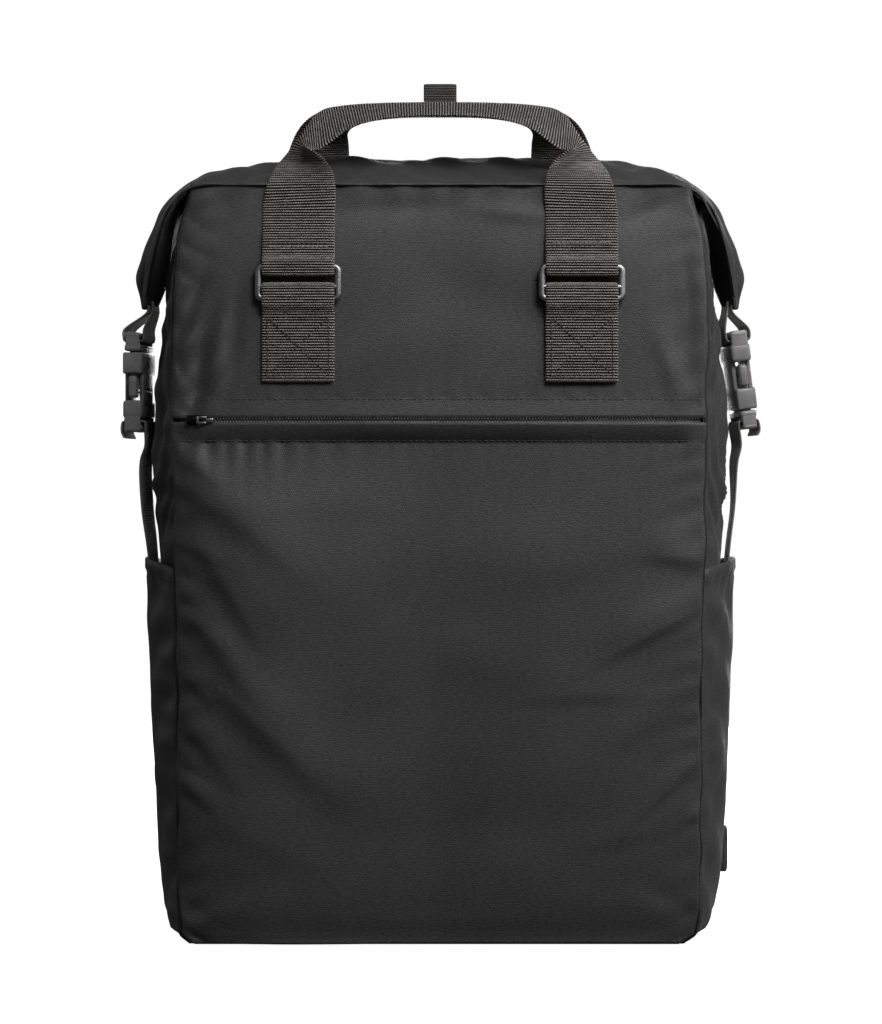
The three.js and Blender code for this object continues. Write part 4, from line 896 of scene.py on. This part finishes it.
tackZ, sliderLow, sliderHigh = handle["tackZ"], handle["sliderLow"], handle["sliderHigh"]
legWrap = [
    (tackZ, lay), *roundBar(sliderHigh - handle["upperSlot"], -1, 4), (sliderHigh + 1.5, overBar - 0.4),
    (sliderHigh + 5, twoLayers + 0.6), (tackZ, twoLayers), (tackZ + 4, twoLayers - 0.3),
    (tackZ + 10, oneLayer + 0.2), (tackZ + 18, oneLayer),
]
patchRows = [handle["patchLow"], (handle["patchLow"] + handle["patchHigh"]) / 2, handle["patchHigh"] - 3]
patchWrap = [
    *[(z, twoLayers) for z in patchRows], (sliderLow - 4.5, twoLayers + 1.4),
    (sliderLow - 1.5, overBar - 0.6), (sliderLow + 1.5, overBar),
    *roundBar(sliderLow + handle["lowerSlot"], 1, 3)[::-1], *[(z, lay) for z in patchRows[::-1]],
]


def onFront(x, z, stand):
    return [x, float(frontFace(np.array(x), np.array(z))) - stand, z]


def onBack(x, z, stand):
    return [x, float(backFace(np.array(x), np.array(z))) + stand, z]


# a handle's two edges, from one leg over the grip's middle to the other
def handleEdges(legRows, place, legX, rows, grips):
    half = handle["width"] / 2
    near = [place(legX - half, z, stand) for z, stand in legRows] + [list(row[:3]) for row in rows]
    far = [place(legX + half, z, stand) for z, stand in legRows] + [list(row[3:]) for row in rows]
    edges = []
    for edge, (gripY, gripZ) in zip((near, far), grips):
        mirrorEdge = [[-x, y, z] for x, y, z in edge]
        edges.append(np.array(mirrorEdge + [[0, gripY, gripZ]] + edge[::-1]))
    return edges


near, far = handleEdges(legWrap, onFront, handle["legX"], turning, handle["grips"])
addPiece("handle_front_web", ribbon(far, near), webbing, ["handle_front"])
backLeg = [(z, oneLayer) for z in backHandle["legRows"]]
near, far = handleEdges(backLeg, onBack, backHandle["legX"], backTurning, backHandle["grips"])
addPiece("handle_back_web", ribbon(near, far), webbing, ["handle_back"])

triGlide = {"halfWidth": handle["width"] / 2 + 4.4, "halfHeight": 10.35, "bar": 3.7, "thick": 4.2,
            "corner": 2.4, "crossZ": -2.4, "crossHeight": 3}
ladderLock = {"halfWidth": 18, "halfHeight": 9, "bar": 4, "thick": 4.2,
              "corner": 2, "crossZ": 0, "crossHeight": 3}
boxiness = 0.65  # the bars' ovals are squarer than round


# a slider frame: rounded rectangle of oval bar with a crossbar
def sliderFrame(halfWidth, halfHeight, bar, thick, corner, crossZ, crossHeight):
    w, h = halfWidth - bar / 2, halfHeight - bar / 2
    line = []
    for quarter, (wayX, wayZ) in enumerate(((1, 1), (-1, 1), (-1, -1), (1, -1))):
        for k in range(7):
            turn = math.radians(90 * quarter + 15 * k)
            x = wayX * (w - corner) + corner * math.cos(turn)
            line.append((x, 0, wayZ * (h - corner) + corner * math.sin(turn)))
    crossbar = [(x, 0, crossZ) for x in np.linspace(-w, w, 6)]
    return joinMeshes([
        tube(line, bar / 2, 20, True, thick / bar, (0, 1, 0), boxiness),
        tube(crossbar, crossHeight / 2, 16, False, thick / crossHeight, (0, 1, 0), boxiness)])


def placed(mesh, matrix):
    points, faces, uvs = mesh
    turned = points @ np.array(matrix.to_3x3()).T + np.array(matrix.translation)
    return turned, faces, uvs


sliderMid = (sliderLow + sliderHigh) / 2
for name, side in bothSides:
    x = side * handle["legX"]
    edges = [[onFront(x + way * handle["width"] / 2, z, stand) for z, stand in patchWrap] for way in (-1, 1)]
    addPiece(f"patch_web_{name}", ribbon(*edges), webbing, [f"front_patch_{name}"])
    acrossWay = Vector(np.subtract(onFront(x + 8, sliderMid, 0), onFront(x - 8, sliderMid, 0))).normalized()
    upWay = Vector(np.subtract(onFront(x, sliderMid + 8, 0), onFront(x, sliderMid - 8, 0))).normalized()
    inWay = upWay.cross(acrossWay).normalized()
    turn = Matrix((acrossWay, inWay, upWay)).transposed().to_4x4()
    turn.translation = Vector(onFront(x, sliderMid, barMiddle))
    glideMesh = placed(sliderFrame(**triGlide), turn)
    addPiece(f"slider_frame_{name}", glideMesh, zincPaintedReflection, [f"slider_{name}"])
print("handles made")

# hang loop on the back handle: up, over and down again, as (y, z)
hang = {"foot": 464.8, "half": 9, "thick": 1.2, "rib": 0.12, "pitch": 1.1, "samples": 4}
hangRows = [(36, hang["foot"]), (36, hang["foot"] + 6), (36, 475.5), (36.6, 476.9), (38, 477.5),
            (39.4, 476.9), (40, 475.5), (40, hang["foot"] + 6), (40, hang["foot"] + 1)]
edges = [[(way * hang["half"], y, z) for y, z in hangRows] for way in (-1, 1)]
hangMesh = ribbon(*edges, hang["thick"], hang["rib"], hang["pitch"], hang["samples"])
addPiece("hang_loop_web", hangMesh, webbingPaintedShade, ["hang_loop"])

# side buckles, in a frame whose height 0 is the mouth of the socket
buckle = {"socketEnd": -44, "socketSlot": -40, "socketHalf": 5.5,
          "prongEnd": 11, "prongSlot": 7.9, "prongHalf": 4.5}
buckles = {  # the socket's mouth, lean in degrees, and a turn about the webbing between two heights
    "left": {"side": -1, "x": 168, "z": 322.6, "lean": 0, "socketUp": False,
             "turn": 10, "from": 140, "full": 250},
    "right": {"side": 1, "x": 168.6, "z": 291, "lean": 7.2, "socketUp": True,
              "turn": 8, "from": 236, "full": 280},
}
turnLoss = {"share": 0.7, "from": 331, "to": 347}  # how the turn is lost towards the ear's tip


# block rows, each with its twin on the other side of one axis
def mirrored(rows, axis):
    twins = []
    for size, middle, radius in rows:
        across = [-value if k == axis else value for k, value in enumerate(middle)]
        twins += [(size, middle, radius), (size, across, radius)]
    return twins


socketBlocks = [  # faces, side walls, body, end bar and the raised lines of the grip
    *mirrored([((2.7, 31, 12), (4.15, 0, -6), 1.2), ((2.7, 20.5, 26), (4.15, 0, -18), 1.2)], 0),
    *mirrored([((10.6, 3, 11.6), (0, 14, -5.9), 1.2), ((9.4, 2.6, 12), (0, 14.1, -38), 1.1)], 1),
    ((11, 31, 10), (0, 0, -31.6), 1.8), ((10.4, 31, 4.2), (0, 0, -41.9), 1.9),
    ((11.6, 24, 1), (0, 0, -2.2), 0.4), ((11.5, 16, 1), (0, 0, -22), 0.4),
    ((11.5, 16, 1), (0, 0, -19.4), 0.4),
]
prongBlocks = [  # side walls, prongs and their barbs, shoulder, end bar, guide and raised lines
    *mirrored([((8, 2.6, 9), (0, 14.1, 6), 1.0), ((4.8, 3.4, 27), (0, 10.3, -11.5), 1.0),
               ((4.8, 4.6, 12), (0, 12.9, -19), 1.6)], 1),
    ((9, 31, 3.8), (0, 0, 2.5), 1.4), ((8.4, 31, 3.2), (0, 0, 9.4), 1.5), ((4.8, 5, 21), (0, 0, -8), 0.8),
    ((9.8, 27, 0.9), (0, 0, 1.6), 0.35), ((9.8, 27, 0.9), (0, 0, 3.4), 0.35),
]
earTip = {"x": 160.1, "z": 350.5, "fall": 5, "apart": (1.8, 2.2)}
strapWay = [(157, 168), (159.6, 212), (162.6, 238), (163.2, 262)]  # (x, z) from inside the pocket upwards
sideWeb = {"width": 25, "rib": 0.03, "pitch": 1.4}


# rows that take webbing in, round a buckle's bar and out again
def loopRound(tailIn, half, edge, way, tailOut):
    reach = half + gap + web
    turn = edge + way * (gap + web + 0.3)
    return [*tailIn, (-reach, edge - way * 4.6), (-reach, edge), (-reach * 0.86, turn - way * 0.2), (0, turn),
            (reach * 0.86, turn - way * 0.2), (reach, edge), (reach, edge - way * 4.6), *tailOut]


# turns points about a buckle's upright axis, less and less towards the pocket and the ear
def spun(points, place):
    atX, z = place["side"] * place["x"], points[:, 2]
    kept = 1 - turnLoss["share"] * smooth(z, turnLoss["from"], turnLoss["to"])
    turn = math.radians(place["side"] * place["turn"]) * smooth(z, place["from"], place["full"]) * kept
    x, y = points[:, 0] - atX, points[:, 1]
    c, s = np.cos(turn), np.sin(turn)
    return np.stack([atX + x * c - y * s, x * s + y * c, z], axis=1)


for name, place in buckles.items():
    side, socketUp = place["side"], place["socketUp"]
    lean = Matrix.Rotation(math.radians(-side * place["lean"]), 4, "Y")
    group = Matrix.Translation((side * place["x"], 0, place["z"])) @ lean
    flip = Matrix.Rotation(math.pi if socketUp else 0, 4, "X")
    for label, blocks, node in (("socket", socketBlocks, "socket"), ("prong", prongBlocks, "prongs")):
        points, faces, uvs = placed(roundedBlocks(blocks), group @ flip)
        mesh = (spun(points, place), faces, uvs)
        addPiece(f"buckle_{label}_body_{name}", mesh, acetalPaintedLight, [f"buckle_{node}_{name}"])
    back = group.inverted()

    def inGroup(x, z):
        p = back @ Vector((side * x, 0, z))
        return side * p.x, p.z

    upper, lower = ("socket", "prong") if socketUp else ("prong", "socket")
    upperSlot, lowerSlot = abs(buckle[upper + "Slot"]), -abs(buckle[lower + "Slot"])
    lowerHalf, lowerBar = buckle[lower + "Half"], (lowerSlot - abs(buckle[lower + "End"])) / 2
    atTip, belowTip = earTip["apart"]
    tipX, tipZ, lowZ = earTip["x"], earTip["z"], earTip["z"] - earTip["fall"]
    loopIn = [inGroup(tipX - atTip, tipZ), inGroup(tipX - belowTip, lowZ)]
    loopOut = [inGroup(tipX + belowTip, lowZ), inGroup(tipX + atTip, tipZ)]
    loopRows = loopRound(loopIn, buckle[upper + "Half"], upperSlot, -1, loopOut)
    strapIn = [*[inGroup(x, z) for x, z in strapWay], (-lowerHalf - gap - web, lowerBar - 10)]
    strapRows = loopRound(strapIn, lowerHalf, lowerSlot, 1, [(lowerHalf + 0.6, lowerBar - 5.5)])
    for label, rows, turned in (("ear_loop", loopRows, side < 0), ("side_strap", strapRows, side > 0)):
        rows = rows[::-1] if turned else rows
        edges = []
        for y in (-sideWeb["width"] / 2, sideWeb["width"] / 2):
            edges.append(spun(np.array([group @ Vector((side * x, y, z)) for x, z in rows]), place))
        mesh = ribbon(*edges, web, sideWeb["rib"], sideWeb["pitch"])
        addPiece(f"{label}_web_{name}", mesh, paleWebbingPaintedLight, [f"{label}_{name}"])
print("buckles made")

# back: padded panel, yoke, shoulder straps, adjusters, lower webbing and anchor tabs
backing = {"low": 2, "top": 410, "inset": 1.4, "thick": 6, "pull": 4.5, "reach": 16,
           "across": 110, "along": 150, "crowd": 1.15}


def backGrid(depth):
    def surface(u, v):
        z = backing["low"] + (backing["top"] - backing["low"]) * v
        half = np.where(u < 0.5, filledAt("back", z, 1), filledAt("back", z, -1)) - backing["inset"]
        x = (1 - 2 * u) * half
        if depth > 0:
            return x, backFace(x, z) - depth, z
        fromEdge = np.minimum(np.minimum(half - np.abs(x), z - backing["low"]), backing["top"] - z)
        soft = backing["pull"] * (1 - smooth(fromEdge, 0, backing["reach"])) ** 1.6
        wave = 0.5 * np.sin(x / 31 + z / 47) * np.sin(z / 39) + 0.3 * np.sin(x / 17 - z / 26)
        return x, backFace(x, z) - soft + wave * smooth(fromEdge, 2, 20), z
    return gridOf(surface, backing["across"], backing["along"], backing["crowd"])


backOuter = backGrid(0)
backMesh = shell(backOuter, backGrid(backing["thick"]), arcUv(backOuter))
backPiece = addPiece("back_pad", backMesh, paddedCloth, ["back_panel"])

base = {"frontIn": 0.4, "backIn": 0.6, "sideIn": 0.8, "fillShare": 0.8, "ripple": 0.02, "thick": 2.2}


def baseCloth(u, v):
    ground = {key: values[0] for key, values in body.items()}
    y = (ground["frontY"] + base["frontIn"]) * (1 - v) + (ground["backY"] - base["backIn"]) * v
    edge = ground["front"] * (1 - v) + ground["back"] * v
    half = edge + (ground["side"] - edge) * (1 - np.abs(2 * v - 1) ** sides["power"]) - base["sideIn"]
    half = half + np.where(u < 0.5, cornerFill[1][0], cornerFill[-1][0]) * base["fillShare"]
    return (1 - 2 * u) * half, y, base["ripple"] * np.sin(u * 9) * np.sin(v * 7)


clothSheet("base_cloth", gridOf(baseCloth, 60, 40), base["thick"], ["base_panel"])

strapRow = {"x": [60, 61, 65, 72, 83, 97, 106], "y": [76, 88, 101, 106, 105, 99, 94],
            "z": [357.5, 335, 295, 250, 205, 165, 142], "width": [58, 58, 58, 58, 56, 46, 34], "thick": 9}
padEdge = {"rim": 0.5, "groove": 0.5, "grooveAt": 0.8, "grooveWidth": 0.05, "endShare": 0.25}
yoke = {"half": 104, "low": 355.5, "height": 24.5, "stand": 2.6, "over": 7, "padHalf": 31, "slope": 12}


# the yoke rises over the straps' upper ends
def yokeCloth(u, v):
    x = (1 - 2 * u) * yoke["half"]
    z = yoke["low"] + yoke["height"] * v
    fromPad = np.abs(np.abs(x) - strapRow["x"][0]) - yoke["padHalf"]
    overPads = smooth(yoke["slope"] - fromPad, 0, yoke["slope"]) * (1 - smooth(v, 0, 0.7))
    return x, backFace(x, z) + yoke["stand"] + yoke["over"] * overPads, z


clothSheet("yoke_cloth", gridOf(yokeCloth, 80, 12), cloth, ["yoke"])

lowerWeb = {"width": 25, "slant": 0.475, "rib": 0.16, "pitch": 1.4}
lowerWebRows = [(107.8, 85.5, 135.5), (112, 83.6, 127.5), (117.5, 81.4, 116.5), (126, 79, 98),
                (141, 75.8, 68), (150, 74.2, 51)]
adjuster = {"shift": (4, -5.4, -11.4), "turn": 0.12, "lean": -0.244}  # mm from the strap's end, and radians
anchor = {"rows": [(147, 65.4), (157, 68.2), (165, 69.4)], "heights": (27, 52), "thick": 3,
          "shift": {"left": -8, "right": 0}}
for name, side in bothSides:
    last = len(strapRow["x"]) - 1
    place = np.linspace(0, last, 91)
    at = {key: cubicAt(strapRow[key], place) for key in ("x", "y", "z", "width")}
    middle = np.stack([side * at["x"], at["y"], at["z"]], axis=1)
    out = unit(np.cross([[1, 0, 0]], unit(np.gradient(middle, axis=0))))
    out = out * np.sign(out[:, 1:2])
    t = np.linspace(-1, 1, 31)
    face = middle[:, None] + np.array([1, 0, 0]) * (t[None, :] * at["width"][:, None] / 2)[..., None]
    crown = strapRow["thick"] / 2 * (1 - np.abs(t) ** 3.2) ** 0.6 + padEdge["rim"]
    crown = crown - padEdge["groove"] * bell(np.abs(t), padEdge["grooveAt"], padEdge["grooveWidth"])
    ends = np.minimum(smooth(place, 0, 0.2), 1 - smooth(place, last - 0.15, last))
    ends = padEdge["endShare"] + (1 - padEdge["endShare"]) * ends
    half = crown[None, :, None] * ends[:, None, None] * out[:, None]
    centre = face - out[:, None] * strapRow["thick"] / 2
    top, under = centre + half, centre - half
    if np.cross(np.gradient(top, axis=1), np.gradient(top, axis=0))[40, 15, 1] < 0:
        top, under = top[:, ::-1], under[:, ::-1]
    padMesh = shell(top, under, arcUv(top))
    strap = addPiece(f"shoulder_pad_{name}", padMesh, paddedCloth, [f"shoulder_strap_{name}"])
    endX, endY, endZ = (strapRow[key][-1] + shift for key, shift in zip("xyz", adjuster["shift"]))
    turn = Matrix.Translation((side * endX, endY, endZ)) @ Matrix.Rotation(side * adjuster["turn"], 4, "Y")
    turn = turn @ Matrix.Rotation(adjuster["lean"], 4, "X")
    lockMesh = placed(sliderFrame(**ladderLock), turn)
    addPiece(f"adjuster_frame_{name}", lockMesh, acetalPaintedLight, [f"adjuster_{name}"])
    way = np.array([math.cos(lowerWeb["slant"]), 0, side * math.sin(lowerWeb["slant"])])
    way = way * lowerWeb["width"] / 2
    line = np.array(lowerWebRows) * [side, 1, 1]
    lowerMesh = ribbon(line - way, line + way, web, lowerWeb["rib"], lowerWeb["pitch"])
    addPiece(f"lower_strap_web_{name}", lowerMesh, webbing, [f"lower_web_{name}"])
    tabRows = [(side * (x + anchor["shift"][name]), y) for x, y in anchor["rows"]]
    edges = [[(x, y, z) for x, y in tabRows] for z in anchor["heights"][::-side]]
    tabMesh = ribbon(*edges, anchor["thick"], lowerWeb["rib"], lowerWeb["pitch"])
    addPiece(f"anchor_web_{name}", tabMesh, webbingPaintedShade, [f"anchor_tab_{name}"])
print("back made")

# stitching, laid on the cloth it holds
forward = [0, -1, 0]
sewn = {"zipHalf": 140, "inset": 2.5, "topInset": 4, "stand": twoLayers + 0.25, "tackApart": 1.1}
boxSize = {"length": 2.4, "pitch": 2.9, "radius": 0.3}
tackSize = {"length": 2.2, "pitch": 2.5, "radius": 0.3}
seamX = np.linspace(-sewn["zipHalf"], sewn["zipHalf"], 400)
zipRows = []
for way in (1, -1):
    seamZ = np.full_like(seamX, zipper["z"] + way * zipper["stitch"])
    zipRows.append(stitchRow(np.stack([seamX, frontCloth(seamX, seamZ), seamZ], axis=1), forward))
addPiece("zip_stitching", joinMeshes(zipRows), thread)
boxRows, tackRows = [], []
half = handle["width"] / 2 - sewn["inset"]
low, high = handle["patchLow"] + sewn["inset"], handle["patchHigh"] - sewn["topInset"]
boxCross = [(-half, low), (half, low), (half, high), (-half, high),
            (-half, low), (half, high), (-half, high), (half, low)]
for side in (-1, 1):
    middle = side * handle["legX"]
    line = []
    for (x0, z0), (x1, z1) in zip(boxCross, boxCross[1:]):
        for k in np.linspace(0, 1, 12):
            line.append(onFront(middle + x0 + (x1 - x0) * k, z0 + (z1 - z0) * k, sewn["stand"]))
    boxRows.append(stitchRow(line, forward, **boxSize))
    for way in (-1, 1):
        z = tackZ + way * sewn["tackApart"]
        tack = [onFront(middle + x, z, sewn["stand"]) for x in np.linspace(-half, half, 30)]
        tackRows.append(stitchRow(tack, forward, **tackSize))
addPiece("handle_stitching", joinMeshes(boxRows), thread)
addPiece("tack_stitching", joinMeshes(tackRows), tackThread)
hemRows = []
for grid in pocketGrids:
    column = grid[:, sides["across"] // 2, 2]
    row = int(np.argmin(np.abs(column[-1] - column - hem["height"])))
    hemRows.append(stitchRow(grid[row, 1:-1], gridNormals(grid)[row, 1:-1]))
addPiece("pocket_stitching", joinMeshes(hemRows), thread)
print("stitches made")

# studio: a pale floor that runs up into a white dome, a key from the right, a weaker fill from the left
studio = {"floor": "#f7f7f7", "glow": 0.95, "world": 0.06, "turns": 48}
white = (1, 1, 1, 1)
sweep = startMaterial("paintedSweep", {
    "Roughness": 0.9, "Base Color": linear(studio["floor"]), "Emission Color": white,
    "Emission Strength": studio["glow"]})[0]
profile = [(1, -0.5), (3000, -0.5), (4600, -0.5), (5600, 160), (6300, 900),
           (6500, 2600), (5400, 5200), (2600, 6700), (1, 7000)]  # radius and height, in mm
curve = smoothLine(np.array([(r, 0, z) for r, z in profile]), 8)
spokes = np.linspace(0, 2 * np.pi, studio["turns"], endpoint=False)
floorPoints = np.stack(np.broadcast_arrays(
    curve[:, :1] * np.cos(spokes), curve[:, :1] * np.sin(spokes), curve[:, 2:]), axis=2)
floorFaces = [face[::-1] for face in ringFaces(len(curve), studio["turns"])[:-2]]
floorData = bpy.data.meshes.new("floor")
floorData.from_pydata((floorPoints.reshape(-1, 3) * mm).tolist(), [], floorFaces)
floorData.shade_smooth()
floorData.materials.append(sweep)
floor = bpy.data.objects.new("floor", floorData)
bpy.context.scene.collection.objects.link(floor)
floor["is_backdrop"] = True
floor.visible_diffuse = False
floor.visible_glossy = False
floor.visible_shadow = False

world = bpy.data.worlds.new("studio")
world.use_nodes = True
world.node_tree.nodes["Background"].inputs[0].default_value = white
world.node_tree.nodes["Background"].inputs[1].default_value = studio["world"]
bpy.context.scene.world = world

lights = [  # name, watts, size, place and target in metres
    ("keyLight", 6, 0.6, (1.0, -0.75, 1.15), (0, 0, 0.28)),
    ("fillLight", 0.3, 0.5, (-1.3, -1.0, 0.6), (-0.1, 0, 0.3)),
    ("topLight", 1, 0.9, (0.25, -0.35, 1.5), (0, 0, 0.35)),
    ("rimLight", 6, 0.7, (1.45, -0.25, 0.95), (0.15, 0, 0.3)),
    ("frontLight", 28, 0.8, (0.65, -1.6, 1.55), (0, 0, 0.3)),
    ("sideLight", 0.8, 0.8, (-1.6, 0.9, 0.7), (-0.1, 0, 0.25)),
    ("backLight", 16, 1.0, (0.3, 1.8, 0.5), (0, 0, 0.22)),
]
for name, power, size, place, target in lights:
    lamp = bpy.data.lights.new(name, "AREA")
    lamp.energy = power
    lamp.size = size
    light = bpy.data.objects.new(name, lamp)
    light.location = place
    light.rotation_euler = (Vector(target) - Vector(place)).to_track_quat("-Z", "Y").to_euler()
    bpy.context.scene.collection.objects.link(light)

# camera 1.9 m in front of the bag's face, level with its middle
view = {"place": (0.0005, -1.964, 0.234), "lens": 123.7, "sensor": 36}
cameraData = bpy.data.cameras.new("camera")
cameraData.lens = view["lens"]
cameraData.sensor_width = view["sensor"]
camera = bpy.data.objects.new("camera", cameraData)
camera.location = view["place"]
camera.rotation_euler = (math.pi / 2, 0, 0)
bpy.context.scene.collection.objects.link(camera)
bpy.context.scene.camera = camera
bpy.context.scene.view_settings.view_transform = "Standard"
print("studio ready")

low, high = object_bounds()
